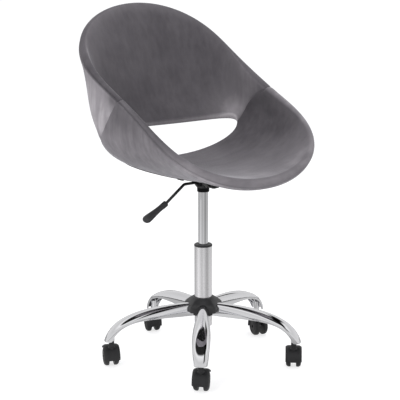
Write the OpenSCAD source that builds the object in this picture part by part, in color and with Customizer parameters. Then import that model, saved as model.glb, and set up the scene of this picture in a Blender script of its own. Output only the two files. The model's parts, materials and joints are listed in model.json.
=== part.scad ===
/* [Shell] */
// Width between the centre lines of the two arms
shell_w = 512; // [440:1:600]
// How square the plan outline of the rim is, as extra width at its four corners
shell_corner = 40; // [20:1:60]
// Distance of the top of the back behind the column axis
back_reach = 316; // [260:1:360]
// Distance of the front edge of the seat ahead of the column axis
front_reach = 253; // [210:1:300]
// Distance of the side seams behind the column axis, at the rim
seam_back = 26; // [0:1:60]
// Height of the top of the back above the seat plate
back_rise = 451; // [380:1:520]
// Height of the arms above the seat plate, at the side seams
arm_rise = 220; // [180:1:260]
// Height of the front edge above the seat plate
front_rise = 22; // [14:1:60]
// How much lower the arms run before they meet the back
arm_swoop = 22; // [0:1:35]
// Thickness of the padded shell
shell_t = 26; // [22:1:34]
// Thickness of the moulded core inside the padding
core_t = 8; // [6:0.5:10]
// Depth of the padding on the sitting side of the core
pad_t = 11; // [9:0.5:14]

/* [Window between back and seat] */
// Width of the window between the centre lines of its rounded ends
window_w = 481; // [400:1:500]
// Distance of the lower edge of the back behind the column axis
window_back_y = 184; // [160:1:210]
// Distance of the ends of the window behind the column axis
window_end_y = 127; // [110:1:150]
// Distance of the rear edge of the seat behind the column axis
window_seat_y = 139; // [110:1:150]
// Height of the lower edge of the back above the seat plate
window_back_rise = 135; // [115:1:160]
// Height of the ends of the window above the seat plate
window_end_rise = 121; // [100:1:140]
// Height of the rear edge of the seat above the seat plate
window_seat_rise = 26; // [18:1:45]

/* [Gas lift] */
// Outer diameter of the outer tube
tube_d = 50; // [46:0.5:54]
// Wall of the outer tube
tube_wall = 1.5; // [1.2:0.1:2.5]
// Height of the lower end of the outer tube above the floor
tube_bottom = 98; // [90:1:106]
// Height of the upper end of the outer tube above the floor
tube_top = 330; // [296:1:366]
// Diameter of the gas cylinder
cylinder_d = 28; // [26:0.5:30]
// Length of gas cylinder in view between the guide bush and the seat plate's socket
cylinder_show = 150; // [135:1:170]
// How far the seat drops from here to its lowest
lift_stroke = 120; // [80:1:125]
// Diameter of the piston rod
rod_d = 10; // [8:0.5:12]
// Radial clearance of a running fit
run_clear = 0.06; // [0.03:0.01:0.09]

/* [Star base] */
// Reach of a leg's tip from the column axis
leg_reach = 287; // [270:1:310]
// Height of the legs' top line at the hub
leg_hub_top = 167; // [160:1:174]
// Height of the legs' lower edge at the hub
leg_hub_low = 132; // [126:1:136]
// Half width of a leg at the hub
leg_w_hub = 15; // [12:0.5:18]
// Half width that the middle of a leg swells towards
leg_w_mid = 28.5; // [22:0.5:32]
// Half width of a leg at its tip
leg_w_tip = 18.5; // [16:0.5:22]
// Sheet thickness of the legs
leg_t = 2; // [1.5:0.1:2.5]
// Turn of the whole star about the column
star_turn = 230.6; // [0:0.1:360]
// Distance across the flats of the hub cover, from the axis
hub_r = 47; // [44:0.5:54]

/* [Casters] */
// Distance of a caster's stem from the tip of its leg
stem_inset = 20; // [17:0.5:24]
// Diameter of a caster wheel
wheel_d = 55; // [50:1:58]
// Width of a caster wheel
wheel_w = 13.5; // [12:0.5:17]
// Gap between the two wheels of a caster
wheel_gap = 15; // [14:0.5:20]
// Distance that a wheel's axle trails behind the stem
caster_trail = 16; // [12:0.5:20]
// Diameter of the caster stem
stem_d = 11; // [10:0.5:12]
// Length of stem inside the socket
stem_grip = 22; // [18:0.5:23]
// Diameter of the wheels' axle
axle_d = 8; // [6:0.5:9]

/* [Lever] */
// Diameter of the lever's rod
lever_d = 8; // [6:0.5:9]
// Distance of the lever's bend from the column axis
lever_bend_x = 66; // [56:1:76]
// Slope of the lever below level, after its bend
lever_slope = 36; // [25:1:45]
// Length of bare rod between its bend and the grip
lever_rod_len = 76; // [60:1:95]
// Length of the moulded grip
grip_len = 84; // [70:1:100]
// Full width of the grip at its broadest
grip_w = 30; // [24:1:36]
// Full depth of the grip at its thickest
grip_t = 19; // [15:1:22]

/* [Seat plate] */
// Distance of the bolts from the centre line of the seat, given as an angle along the shell
bolt_turn = 9.5; // [8:0.5:14]
// Thickness of the pressed seat plate
plate_t = 3; // [2.5:0.1:4]
// Diameter of the plate bolts
bolt_d = 6; // [5:0.5:8]

/* [Hidden] */

$fn = 64;
eps = 0.01;
seat_gap = 0.3;          // what two pieces of one body keep where curved faces meet
layer_gap = 0.5;         // between the core and the padding on either side

// Heights up the column
bush_flange_h = 5.5;
bush_lip = 0.8;          // how far the flange stands out over the tube
bush_round = 2;
bush_top = tube_top + seat_gap + bush_flange_h;
collar_h = 20;           // taper socket in view below the lever housing
collar_z = bush_top + cylinder_show;
collar_r = cylinder_d / 2 + 3.2;
button_proud = 4;
nose_gap = 0.5;          // between the lever's nose and the button
cylinder_top = collar_z + collar_h - 0.5;
button_top = cylinder_top + button_proud;
lever_z = button_top + nose_gap + lever_d / 2;
plate_low = lever_z + lever_d / 2 + 5.5;
plate_top = plate_low + plate_t;
housing_r = collar_r + 6;
housing_wall = 2.5;
flare_h = 9;             // height over which the collar widens to the housing
pivot_x = 14;            // pivot of the lever, on the side of the occupant's right hand

// ---------------------------------------------------------------- padded shell
// A value that runs round the rim: back at 0 degrees, sides at 90 and 270, front at 180
function round_loop(s, back, side, front, swoop = 0) =
    let (mean = (back + front) / 2)
    (mean + side) / 2 + (mean - side) / 2 * cos(2 * s)
    + ((back - front) / 2 - swoop) * cos(s) + swoop * cos(3 * s);

window_corner = 14;
function rim_raw(s) = [
    (shell_w / 2 + shell_corner) * sin(s) + shell_corner * sin(3 * s),
    round_loop(s, back_reach, seam_back, -front_reach),
    round_loop(s, back_rise, arm_rise, front_rise, arm_swoop)];
function window_raw(s) = [
    (window_w / 2 + window_corner) * sin(s) + window_corner * sin(3 * s),
    round_loop(s, window_back_y, window_end_y, window_seat_y),
    round_loop(s, window_back_rise, window_end_rise, window_seat_rise)];

// How far the section bows outwards from its chord, near the window and near the rim
function bow_window(s) = round_loop(s, 23, 36, 22);
function bow_rim(s) = round_loop(s, -12, 9, 4);

function unit(v) = v / norm(v);
function mix3(a, b, c, d, t) =
    pow(1 - t, 3) * a + 3 * pow(1 - t, 2) * t * b + 3 * (1 - t) * t * t * c + pow(t, 3) * d;
function slope3(a, b, c, d, t) =
    3 * pow(1 - t, 2) * (b - a) + 6 * (1 - t) * t * (c - b) + 3 * t * t * (d - c);

// Outward normal of the chord at station s, from the direction in which both curves run
step_s = 0.05;
function run_dir(s) =
    rim_raw(s + step_s) - rim_raw(s - step_s) + window_raw(s + step_s) - window_raw(s - step_s);
function chord_normal(s) = -unit(cross(run_dir(s), rim_raw(s) - window_raw(s)));

// Everything that the section at station s needs, worked out once per station
function station(s) =
    let (w = window_raw(s), r = rim_raw(s), n = chord_normal(s))
    [w, w + (r - w) / 3 + n * bow_window(s), w + (r - w) * 2 / 3 + n * bow_rim(s), r, n];

// Point of a section: t from window to rim, out along the normal, on along the section
function section_point(q, t, out, on) =
    let (
        p = mix3(q[0], q[1], q[2], q[3], t),
        d = unit(slope3(q[0], q[1], q[2], q[3], t)),
        n = unit(q[4] - (q[4] * d) * d))
    p + n * out + d * on;

half_t = shell_t / 2;
core_in = pad_t - half_t;           // offset of the core's sitting face, from the mid surface
core_out = core_in + core_t;
section_steps = 7;
section_ts = [for (i = [0 : section_steps]) i / section_steps];
edge_turns = [30, 60];

// The shell's lowest line, down the middle of the seat, is set just clear of the seat plate
shell_clear = 3.5;
seat_line = station(180);
lowest = min([for (t = section_ts) section_point(seat_line, t, half_t, 0)[2]]);
shell_z = plate_top + shell_clear - lowest;
function shell_point(q, t, out, on) = section_point(q, t, out, on) + [0, 0, shell_z];

// Section outlines as [t, out, on], each a closed ring
function face(out) = [for (t = section_ts) [t, out, 0]];
function face_back(out) = [for (i = [section_steps : -1 : 0]) [section_ts[i], out, 0]];
pad_ring = concat(
    face(-half_t),
    [for (a = edge_turns) [1, -half_t * cos(a), half_t * sin(a)]],
    [[1, -seat_gap / 2, half_t], [1, -seat_gap / 2, layer_gap], [1, core_in - layer_gap, layer_gap]],
    face_back(core_in - layer_gap),
    [[0, core_in - layer_gap, -layer_gap], [0, -seat_gap / 2, -layer_gap], [0, -seat_gap / 2, -half_t]],
    [for (i = [1 : -1 : 0]) [0, -half_t * cos(edge_turns[i]), -half_t * sin(edge_turns[i])]]);
cover_ring = concat(
    face_back(half_t),
    [for (a = edge_turns) [0, half_t * cos(a), -half_t * sin(a)]],
    [[0, seat_gap / 2, -half_t], [0, seat_gap / 2, -layer_gap], [0, core_out + layer_gap, -layer_gap]],
    face(core_out + layer_gap),
    [[1, core_out + layer_gap, layer_gap], [1, seat_gap / 2, layer_gap], [1, seat_gap / 2, half_t]],
    [for (i = [1 : -1 : 0]) [1, half_t * cos(edge_turns[i]), half_t * sin(edge_turns[i])]]);
core_ring = concat(face(core_in), face_back(core_out));

// A ring of section points swept along the stations, closed by end faces or into a loop.
// Every quad is cut along the same diagonal whichever way its ring runs, so that the
// facing sides of neighbouring layers stay parallel.
module swept(ring, stations, loop = false) {
    m = len(ring);
    n = len(stations);
    order = [for (g = ring) g[0] + (g[2] + g[1] / 1000) / 1000];
    rows = [for (s = stations) let (q = station(s)) [for (g = ring) shell_point(q, g[0], g[1], g[2])]];
    last = loop ? n - 1 : n - 2;
    sides = [for (i = [0 : last], j = [0 : m - 1])
        let (k = (j + 1) % m, a = i * m + j, b = i * m + k, c = ((i + 1) % n) * m + j,
             d = ((i + 1) % n) * m + k)
        each order[k] > order[j] ? [[a, b, c], [b, d, c]] : [[a, b, d], [a, d, c]]];
    ends = loop ? [] : [[for (j = [m - 1 : -1 : 0]) j], [for (j = [0 : m - 1]) (n - 1) * m + j]];
    polyhedron([for (r = rows) each r], concat(sides, ends), convexity = 8);
}

seam_s = 90;
seam_step = 0.05;        // half of the hairline between the back and seat panels, degrees
panel_steps = 30;
function panel(from) = [for (i = [0 : panel_steps])
    let (s = from + 180 * i / panel_steps)
    i == 0 ? s + seam_step : i == panel_steps ? s - seam_step : s];
back_stations = panel(-seam_s);
seat_stations = panel(seam_s);
core_stations = [for (i = [0 : 2 * panel_steps - 1]) 180 * i / panel_steps];

// ---------------------------------------------------------------- seat plate places
// The bolts stand where these sections of the seat meet these shares of its depth
bolt_places = [[180 - bolt_turn, 0.3], [180 + bolt_turn, 0.3],
               [180 - 0.9 * bolt_turn, 0.66], [180 + 0.9 * bolt_turn, 0.66]];
under_t = 1;
function under_point(b, out) = shell_point(station(b[0]), b[1], out, 0);
bolt_clear_d = bolt_d + 0.6;
insert_d = bolt_d + 4;
insert_h = core_t - 2;

module at_bolts() {
    for (b = bolt_places) {
        p = under_point(b, (core_in + core_out) / 2);
        translate([p[0], p[1], 0]) children();
    }
}

module bolt_holes(d) {
    at_bolts() translate([0, 0, plate_low - 20]) cylinder(d = d, h = 120);
}

module shell_core() {
    color("burlywood") difference() {
        swept(core_ring, core_stations, loop = true);
        bolt_holes(insert_d + 0.2);
    }
}

module back_pad() {
    color("dimgray") swept(pad_ring, back_stations);
}

module seat_pad() {
    color("dimgray") swept(pad_ring, seat_stations);
}

module back_cover() {
    color("gray") swept(cover_ring, back_stations);
}

module seat_cover() {
    color("gray") difference() {
        swept(cover_ring, seat_stations);
        bolt_holes(bolt_clear_d);
    }
}

// Dust cover stapled under the seat, inside its turned edge
under_steps = 7;         // stations that it reaches to either side of the middle
under_ts = [for (i = [1 : section_steps - 1]) section_ts[i]];
// Half of its outline in plan, in shares of the shell's half width and of the front's reach
under_half = [[0.73, 0.38], [0.72, 0.32], [0.54, 0], [0.46, -0.51], [0.32, -0.70]];
under_corner = 8;
module under_outline() {
    half = [for (p = under_half) [p[0] * shell_w / 2, p[1] * front_reach]];
    offset(r = under_corner) offset(delta = -under_corner)
        polygon(concat(half, [for (i = [len(half) - 1 : -1 : 0]) [-half[i][0], half[i][1]]]));
}

module under_cover() {
    ring = concat(
        [for (t = under_ts) [t, half_t + seat_gap, 0]],
        [for (i = [len(under_ts) - 1 : -1 : 0]) [under_ts[i], half_t + seat_gap + under_t, 0]]);
    stations = [for (i = [-under_steps : under_steps]) 180 + 180 * i / panel_steps];
    color([0.12, 0.12, 0.13]) difference() {
        intersection() {
            swept(ring, stations);
            translate([0, 0, plate_low]) linear_extrude(shell_w) under_outline();
        }
        bolt_holes(bolt_clear_d);
    }
}

// Spacers fill the wedge between the flat plate and the hollow of the shell
spacer_d = 22;
spacer_ring = concat(face(-half_t), face_back(half_t + under_t + 2 * seat_gap));
module plate_spacers() {
    color([0.12, 0.12, 0.13]) difference() {
        for (b = bolt_places) {
            p = under_point(b, (core_in + core_out) / 2);
            top = under_point(b, half_t)[2] + 4;
            translate([p[0], p[1], plate_top]) cylinder(d = spacer_d, h = top - plate_top);
        }
        swept(spacer_ring, seat_stations);
        bolt_holes(bolt_clear_d);
    }
}

module threaded_inserts() {
    color("silver") for (b = bolt_places) {
        p = under_point(b, (core_in + core_out) / 2);
        translate(p - [0, 0, insert_h / 2]) difference() {
            cylinder(d = insert_d, h = insert_h);
            translate([0, 0, -1]) cylinder(d = bolt_d + 0.1, h = insert_h + 2);
        }
    }
}

bolt_head_d = bolt_d * 1.75;
bolt_head_h = bolt_d * 0.55;
module plate_bolts() {
    color("silver") for (b = bolt_places) {
        p = under_point(b, (core_in + core_out) / 2);
        translate([p[0], p[1], plate_low - bolt_head_h]) difference() {
            union() {
                cylinder(d = bolt_head_d, h = bolt_head_h);
                cylinder(d = bolt_d, h = p[2] + insert_h / 2 - plate_low + bolt_head_h);
            }
            translate([0, 0, -eps]) cylinder(d = bolt_d * 0.6, h = bolt_head_h * 0.7, $fn = 6);
        }
    }
}

// ---------------------------------------------------------------- seat plate
arm_w = 28;
rib_h = 6;
rib_end = 20;            // the ribs stop this far short of the bolt
rib_lap = 2;             // and start this far inside the housing's wall
disc_r = housing_r + 12;

module plate_arm(p) {
    reach = norm([p[0], p[1]]);
    rotate([0, 0, atan2(p[1], p[0])]) {
        translate([0, -arm_w / 2, plate_low]) cube([reach, arm_w, plate_t]);
        translate([reach, 0, plate_low]) cylinder(d = arm_w, h = plate_t);
        for (side = [-1, 1])
            translate([housing_r - rib_lap, side * (arm_w - plate_t) / 2 - plate_t / 2, plate_low - rib_h])
                cube([reach - rib_end - housing_r + rib_lap, plate_t, rib_h + plate_t]);
    }
}

socket_bore_r = cylinder_d / 2 + run_clear;
slot_w = lever_d + 4;
slot_in = 5;             // the lever's way out starts this far from the axis
slot_reach = 3 * housing_r;  // and is cut through the wall and the ribs, this far out
collar_edge = 1;
module seat_plate() {
    color([0.1, 0.1, 0.11]) difference() {
        union() {
            for (b = bolt_places) plate_arm(under_point(b, (core_in + core_out) / 2));
            translate([0, 0, plate_low]) cylinder(r = disc_r, h = plate_t);
            rotate_extrude($fn = 96) polygon([
                [0, collar_z], [collar_r - collar_edge, collar_z], [collar_r, collar_z + collar_edge],
                [collar_r, collar_z + collar_h - flare_h],
                [housing_r, collar_z + collar_h - collar_edge],
                [housing_r, plate_low + eps], [0, plate_low + eps]]);
        }
        translate([0, 0, collar_z - 1]) cylinder(r = socket_bore_r, h = collar_h + 1 + eps);
        translate([0, 0, collar_z + collar_h])
            cylinder(r = housing_r - housing_wall, h = plate_low - collar_z - collar_h);
        translate([-slot_reach, -slot_w / 2, lever_z - lever_d / 2 - 1])
            cube([slot_reach - slot_in, slot_w, plate_low - lever_z + lever_d / 2 + 1]);
        translate([-pivot_x, 0, lever_z]) rotate([90, 0, 0])
            cylinder(d = pin_d + pin_clear, h = 4 * housing_r, center = true);
        bolt_holes(bolt_clear_d);
    }
}

// ---------------------------------------------------------------- gas lift
tube_bore_r = tube_d / 2 - tube_wall;
plug_t = 4;
bearing_h = 5;
shoulder_h = 4;
rod_r = rod_d / 2;
cylinder_low = tube_bottom + plug_t + bearing_h + shoulder_h + lift_stroke + 12;
gland_h = 20;
piston_h = 12;
bore_r = cylinder_d / 2 - 2;
bore_top = cylinder_low + gland_h + piston_h + lift_stroke + 6;
foot_taper = 0.8;

module outer_tube() {
    color("silver") difference() {
        rotate_extrude($fn = 128) polygon([
            [0, tube_bottom], [tube_d / 2 - foot_taper, tube_bottom], [tube_d / 2, leg_hub_top],
            [tube_d / 2, tube_top - 0.5], [tube_d / 2 - 0.5, tube_top], [0, tube_top]]);
        translate([0, 0, tube_bottom + plug_t]) cylinder(r = tube_bore_r, h = tube_top);
        translate([0, 0, tube_bottom - 1]) cylinder(r = rod_r + run_clear, h = plug_t + 2);
    }
}

bush_h = 62;
bush_r = tube_d / 2 + bush_lip;
module guide_bush() {
    color([0.12, 0.12, 0.13]) difference() {
        union() {
            translate([0, 0, tube_top - bush_h]) cylinder(r = tube_bore_r - 0.1, h = bush_h + 1);
            translate([0, 0, tube_top + seat_gap]) rotate_extrude($fn = 96) polygon([
                [0, 0], [bush_r, 0], [bush_r, bush_flange_h - bush_round],
                [bush_r - bush_round, bush_flange_h], [0, bush_flange_h]]);
        }
        translate([0, 0, tube_top - bush_h - 1])
            cylinder(r = cylinder_d / 2 + run_clear, h = bush_h + bush_flange_h + 5);
    }
}

module thrust_bearing() {
    color("silver") translate([0, 0, tube_bottom + plug_t + seat_gap]) difference() {
        cylinder(d = rod_d + 14, h = bearing_h - 2 * seat_gap);
        translate([0, 0, -1]) cylinder(d = rod_d + 0.6, h = bearing_h + 2);
    }
}

clip_z = tube_bottom - 3;
module piston_rod() {
    color("lightgray") difference() {
        union() {
            translate([0, 0, clip_z - 3])
                cylinder(r = rod_r, h = cylinder_low + gland_h + piston_h - clip_z + 3 - 2);
            translate([0, 0, tube_bottom + plug_t + bearing_h]) cylinder(d = rod_d + 8, h = shoulder_h);
            translate([0, 0, cylinder_low + gland_h + 1]) cylinder(r = bore_r - 0.1, h = piston_h - 3);
        }
        translate([0, 0, clip_z]) difference() {
            cylinder(d = rod_d + 2, h = 1.6);
            translate([0, 0, -1]) cylinder(d = rod_d - 1.6, h = 4);
        }
    }
}

module retaining_clip() {
    color("dimgray") translate([0, 0, clip_z + 0.2]) difference() {
        cylinder(d = rod_d + 8, h = 1.2);
        translate([0, 0, -1]) cylinder(d = rod_d - 1.4, h = 4);
        translate([0, -(rod_d - 3) / 2, -1]) cube([rod_d + 8, rod_d - 3, 4]);
    }
}

button_d = 8;
button_len = 16;
module gas_cylinder() {
    color("silver") difference() {
        rotate_extrude($fn = 96) polygon([
            [0, cylinder_low], [cylinder_d / 2 - 1, cylinder_low], [cylinder_d / 2, cylinder_low + 1],
            [cylinder_d / 2, cylinder_top - 1], [cylinder_d / 2 - 1, cylinder_top], [0, cylinder_top]]);
        translate([0, 0, cylinder_low + gland_h])
            cylinder(r = bore_r, h = bore_top - cylinder_low - gland_h);
        translate([0, 0, cylinder_low - 1]) cylinder(r = rod_r + run_clear, h = gland_h + 2);
        translate([0, 0, cylinder_top - button_len - 2])
            cylinder(d = button_d + 2 * run_clear, h = button_len + 3);
    }
}

module release_button() {
    color("gainsboro") translate([0, 0, button_top - button_len])
        rotate_extrude() polygon([[0, 0], [button_d / 2, 0], [button_d / 2, button_len - 1],
            [button_d / 2 - 1, button_len], [0, button_len]]);
}

// ---------------------------------------------------------------- lever
pin_d = 4;
pin_clear = 0.06;        // on the pin's diameter in the housing; twice that in the lever
nose_x = 2;              // how far the lever reaches past the column axis
lever_bend_r = 14;       // radius of the rod's centre line at its bend
rod_in_grip = 34;
bend_swell = 0.2;        // the rod is this much thicker where it is bent
bend_lap = 1;            // how far the straight rod runs into the bend
module lever_rod() {
    run = lever_bend_r * tan(lever_slope / 2);
    color([0.1, 0.1, 0.11]) difference() {
        translate([run - lever_bend_x, 0, lever_z - lever_bend_r]) rotate([0, -90, 90]) {
            translate([lever_bend_r, bend_lap, 0]) rotate([90, 0, 0])
                cylinder(d = lever_d, h = lever_bend_x - run + nose_x + bend_lap);
            rotate_extrude(angle = lever_slope)
                translate([lever_bend_r, 0]) circle(d = lever_d + bend_swell);
            rotate([0, 0, lever_slope]) translate([lever_bend_r, -bend_lap, 0]) rotate([-90, 0, 0])
                cylinder(d = lever_d, h = lever_rod_len + rod_in_grip - run + bend_lap);
        }
        translate([-pivot_x, 0, lever_z]) rotate([90, 0, 0])
            cylinder(d = pin_d + 2 * pin_clear, h = 2 * lever_d, center = true);
    }
}

module pivot_pin() {
    color("silver") translate([-pivot_x, 0, lever_z]) rotate([90, 0, 0])
        cylinder(d = pin_d, h = 2 * sqrt(pow(housing_r, 2) - pow(pivot_x, 2)) - 1, center = true);
}

// Moulded grip: an oval that starts round, narrows to a waist and swells towards its end
grip_tilt = 7;           // degrees that the grip lies flatter than the rod
grip_steps = 12;
grip_points = 16;
grip_neck = 8.5;         // half width of the round neck
neck_share = 0.16;       // share of the grip's length that its neck takes
waist = 2.5;             // how far the grip draws in behind its neck
end_share = 0.14;        // share of the length over which the far end is rounded off
end_steps = 4;           // rings that round the grip's far end
function grip_half(u, full) =
    u < neck_share ? grip_neck
    : mix3(grip_neck, grip_neck - waist, full / 2 + 2, full / 2, (u - neck_share) / (1 - neck_share));
function grip_round(u) =
    let (v = (u - 1 + end_share) / end_share) v > 0 ? sqrt(max(0.06, 1 - v * v)) : 1;
function grip_share(i) =
    i < grip_steps - end_steps ? 0.95 * i / (grip_steps - end_steps + 1)
    : 1 - 0.13 * pow((grip_steps - i) / end_steps, 2);
module grip_body() {
    us = [for (i = [0 : grip_steps]) grip_share(i)];
    rows = [for (u = us) [for (j = [0 : grip_points - 1])
        let (a = 360 * j / grip_points)
        [u * grip_len, grip_half(u, grip_w) * grip_round(u) * cos(a),
         grip_half(u, grip_t) * grip_round(u) * sin(a)]]];
    m = grip_points;
    sides = [for (i = [0 : grip_steps - 1], j = [0 : m - 1])
        let (a = i * m + j, b = i * m + (j + 1) % m)
        each [[a, b, a + m], [b, b + m, a + m]]];
    ends = [[for (j = [m - 1 : -1 : 0]) j], [for (j = [0 : m - 1]) grip_steps * m + j]];
    polyhedron([for (r = rows) each r], concat(sides, ends), convexity = 4);
}

module lever_grip() {
    color([0.13, 0.13, 0.14]) difference() {
        translate([-lever_bend_x, 0, lever_z]) rotate([0, 180 - lever_slope, 0])
            translate([lever_rod_len, 0, 0]) rotate([0, grip_tilt, 0]) grip_body();
        translate([-lever_bend_x, 0, lever_z]) rotate([0, -90 - lever_slope, 0])
            cylinder(d = lever_d + 0.2, h = lever_rod_len + rod_in_grip + seat_gap);
    }
}

// ---------------------------------------------------------------- star base
core_r = tube_d / 2 + 4.5;
leg_start = core_r + seat_gap;
leg_tip_z = 76.5;        // height of the tips above the floor
leg_tip_depth = 17;
leg_steps = 10;
leg_points = 5;          // points on each side of a leg's crown
arch_power = 2.6;

// Top line and lower edge of a leg, each a smooth curve that is level at the hub and dives at the tip
leg_mid_back = 98;
function leg_top(u) = mix3([leg_start, leg_hub_top], [leg_reach - leg_mid_back, leg_hub_top + 2],
    [leg_reach - 22, leg_hub_top - 30], [leg_reach, leg_tip_z], u);
function leg_low(u) = mix3([leg_start, leg_hub_low], [leg_reach - 128, leg_hub_low],
    [leg_reach - 45, leg_hub_low + 15], [leg_reach - leg_tip_depth, leg_tip_z], u);
leg_w_spread = 10;       // how fast a leg widens from the hub
function leg_half(u) = mix3(leg_w_hub, leg_w_hub + leg_w_spread, leg_w_mid, leg_w_tip, u);

// Arch across a leg: 0 at one lower edge, 1 at the other, with a flattened round crown
function arch(k) =
    let (a = 180 * k, c = cos(a), s = sin(a))
    [-sign(c) * pow(abs(c), 2 / arch_power), pow(abs(s), 2 / arch_power)];
function leg_row(u, inset) =
    let (low = leg_low(u), top = leg_top(u), up = unit(top - low), h = norm(top - low) - inset,
         w = leg_half(u) - inset, n = 2 * leg_points)
    [for (i = [0 : n]) let (g = arch(i / n), p = low + up * h * g[1]) [p[0], w * g[0], p[1]]];

module leg_shape() {
    us = [for (i = [0 : leg_steps]) i / leg_steps];
    rows = [for (u = us) let (inner = leg_row(u, leg_t), k = len(inner))
        concat(leg_row(u, 0), [for (i = [k - 1 : -1 : 0]) inner[i]])];
    m = len(rows[0]);
    sides = [for (i = [0 : leg_steps - 1], j = [0 : m - 1])
        let (a = i * m + j, b = i * m + (j + 1) % m)
        each [[a, b, a + m], [b, b + m, a + m]]];
    // The end faces are strips between the outer and the inner arch, because they are not convex
    half = m / 2;
    strip = [for (j = [0 : half - 2]) each [[j, m - 1 - j, j + 1], [j + 1, m - 1 - j, m - 2 - j]]];
    far = leg_steps * m;
    ends = concat(strip, [for (f = strip) [far + f[0], far + f[2], far + f[1]]]);
    polyhedron([for (r = rows) each r], concat(sides, ends), convexity = 6);
}

caster_pcr = leg_reach - stem_inset;
function leg_angle(k) = star_turn + 72 * (k - 1);
module leg(k) {
    color("silver") rotate([0, 0, leg_angle(k)]) leg_shape();
}

socket_r = 8.5;
socket_low = leg_tip_z;
socket_cap = 3;          // closed end over the stem
socket_slant = 34;       // degrees; the socket's top is cut back where the leg curves over it
socket_slant_z = 10;     // the cut starts this far above the socket's foot
socket_back = 4.9;       // and this far inside the leg's inner face at its tip
module socket(k) {
    bore = stem_d / 2 + run_clear;
    color("silver") rotate([0, 0, leg_angle(k)]) translate([caster_pcr, 0, socket_low]) difference() {
        cylinder(r = socket_r, h = stem_grip + socket_cap);
        translate([0, 0, -1]) cylinder(r = bore, h = stem_grip + socket_cap / 2);
        translate([stem_inset - leg_t - socket_back, -2 * socket_r, socket_slant_z])
            rotate([0, -socket_slant, 0]) cube([2 * socket_r, 4 * socket_r, 3 * stem_grip]);
    }
}

hub_band_low = leg_hub_low + 13;
hub_band_top = leg_hub_top - 3;
hub_crown = leg_hub_top + 16;
hub_wall = 3;
module hub_core() {
    color("dimgray") difference() {
        translate([0, 0, leg_hub_low - 2]) cylinder(r = core_r, h = leg_hub_top - leg_hub_low + 4);
        rotate_extrude($fn = 128) polygon([
            [0, tube_bottom], [tube_d / 2 - foot_taper + run_clear, tube_bottom],
            [tube_d / 2 + run_clear, leg_hub_top], [tube_d / 2 + run_clear, leg_hub_top + 20],
            [0, leg_hub_top + 20]]);
    }
}

module hub_dome(r, z_low, z_band, z_top, crown_r) {
    corner_r = 4;
    hull() {
        translate([0, 0, z_low]) rotate([0, 0, star_turn + 36]) linear_extrude(z_band - z_low)
            for (k = [0 : 4]) rotate([0, 0, 72 * k])
                translate([r / cos(36) - 2 * corner_r, 0]) circle(r = corner_r, $fn = 24);
        translate([0, 0, z_band]) cylinder(r = crown_r, h = z_top - z_band, $fn = 40);
    }
}

// Arched openings of the hub cover, one over each leg, cut by the leg's own outline at the cover
leg_shadow = 1;          // gap that the cover leaves round a leg
cover_u = (hub_r - leg_start) / (3 * (leg_reach - leg_mid_back - leg_start));
module leg_openings() {
    for (k = [1 : 5]) rotate([90, 0, leg_angle(k) + 90]) translate([0, 0, leg_start])
        linear_extrude(hub_r) polygon([for (p = leg_row(cover_u, -leg_shadow)) [p[1], p[2]]]);
}

module hub_cover() {
    color([0.14, 0.14, 0.15]) difference() {
        hub_dome(hub_r, hub_band_low, hub_band_top, hub_crown, tube_d / 2 + 4);
        hub_dome(hub_r - hub_wall, hub_band_low - 5, hub_band_top - hub_wall / 2, hub_crown - hub_wall,
            tube_d / 2 + 3);
        translate([0, 0, hub_band_low - 10]) cylinder(r = tube_d / 2 + seat_gap, h = 80);
        leg_openings();
    }
}

// ---------------------------------------------------------------- casters
// Each caster is drawn with its stem on the z axis and the closed side of its hood towards -y
wheel_r = wheel_d / 2;
wheel_round = 8;         // radius of the wheels' outer shoulder
hood_gap = 2;
hood_wall = 2.8;
hood_low = 21;           // height of the hood's lower edge above the floor
hood_back_turn = 42;     // where the hood ends over the open side, above level
hood_r = wheel_r + hood_gap + hood_wall;
boss_top = wheel_r + sqrt(pow(hood_r, 2) - pow(caster_trail, 2)) + 2;
stem_low = boss_top - 12;
neck_r = 7.6;
neck_top = socket_low - 0.4;
web_gap = 1;             // between the web and a wheel
web_half = wheel_gap / 2 - web_gap;
axle_gap = 0.04;
axle_in = wheel_w - 4;   // how far the axle reaches into a wheel
hood_closed_looks = [224, 228, 75, 250, 246];  // directions that the hoods' closed sides face

module at_caster(k) {
    rotate([0, 0, leg_angle(k)]) translate([caster_pcr, 0, 0])
        rotate([0, 0, hood_closed_looks[k - 1] + 90 - leg_angle(k)]) children();
}

// Stands a shape that was drawn round z round the axle instead
module round_axle() {
    translate([0, caster_trail, wheel_r]) rotate([0, 90, 0]) children();
}

function arc(c, r, from, to, n = 5) =
    [for (i = [0 : n]) let (a = from + (to - from) * i / n) c + r * [cos(a), sin(a)]];

// Section of the hood: a shell over both wheels that wraps their shoulders, on a middle web
shoulder = [wheel_r - wheel_round, wheel_gap / 2 + wheel_w - wheel_round];
hood_wrap = 50;
function mirrored(ps) = [for (i = [len(ps) - 1 : -1 : 0]) [ps[i][0], -ps[i][1]]];
hood_half = concat(
    [[2, web_half], [wheel_r + hood_gap, web_half]],
    arc(shoulder, wheel_round + hood_gap, 0, hood_wrap),
    arc(shoulder, wheel_round + hood_gap + hood_wall, hood_wrap, 0));

hood_front_turn = asin((wheel_r - hood_low) / hood_r);
module hood_sector() {
    round_axle() rotate([0, 0, 90 + hood_back_turn])
        rotate_extrude(angle = 90 + 90 + hood_front_turn - hood_back_turn, $fn = 96)
            polygon(concat(hood_half, mirrored(hood_half)));
}

module wheel_space() {
    inset = 0.4;         // keeps the boss inside the web and the hood where they run together
    for (side = [0, 180]) translate([0, caster_trail, wheel_r])
        rotate([0, 90 + side, 0]) translate([0, 0, web_half - inset])
            cylinder(r = wheel_r + hood_gap + inset, h = wheel_w + 10);
}

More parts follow.
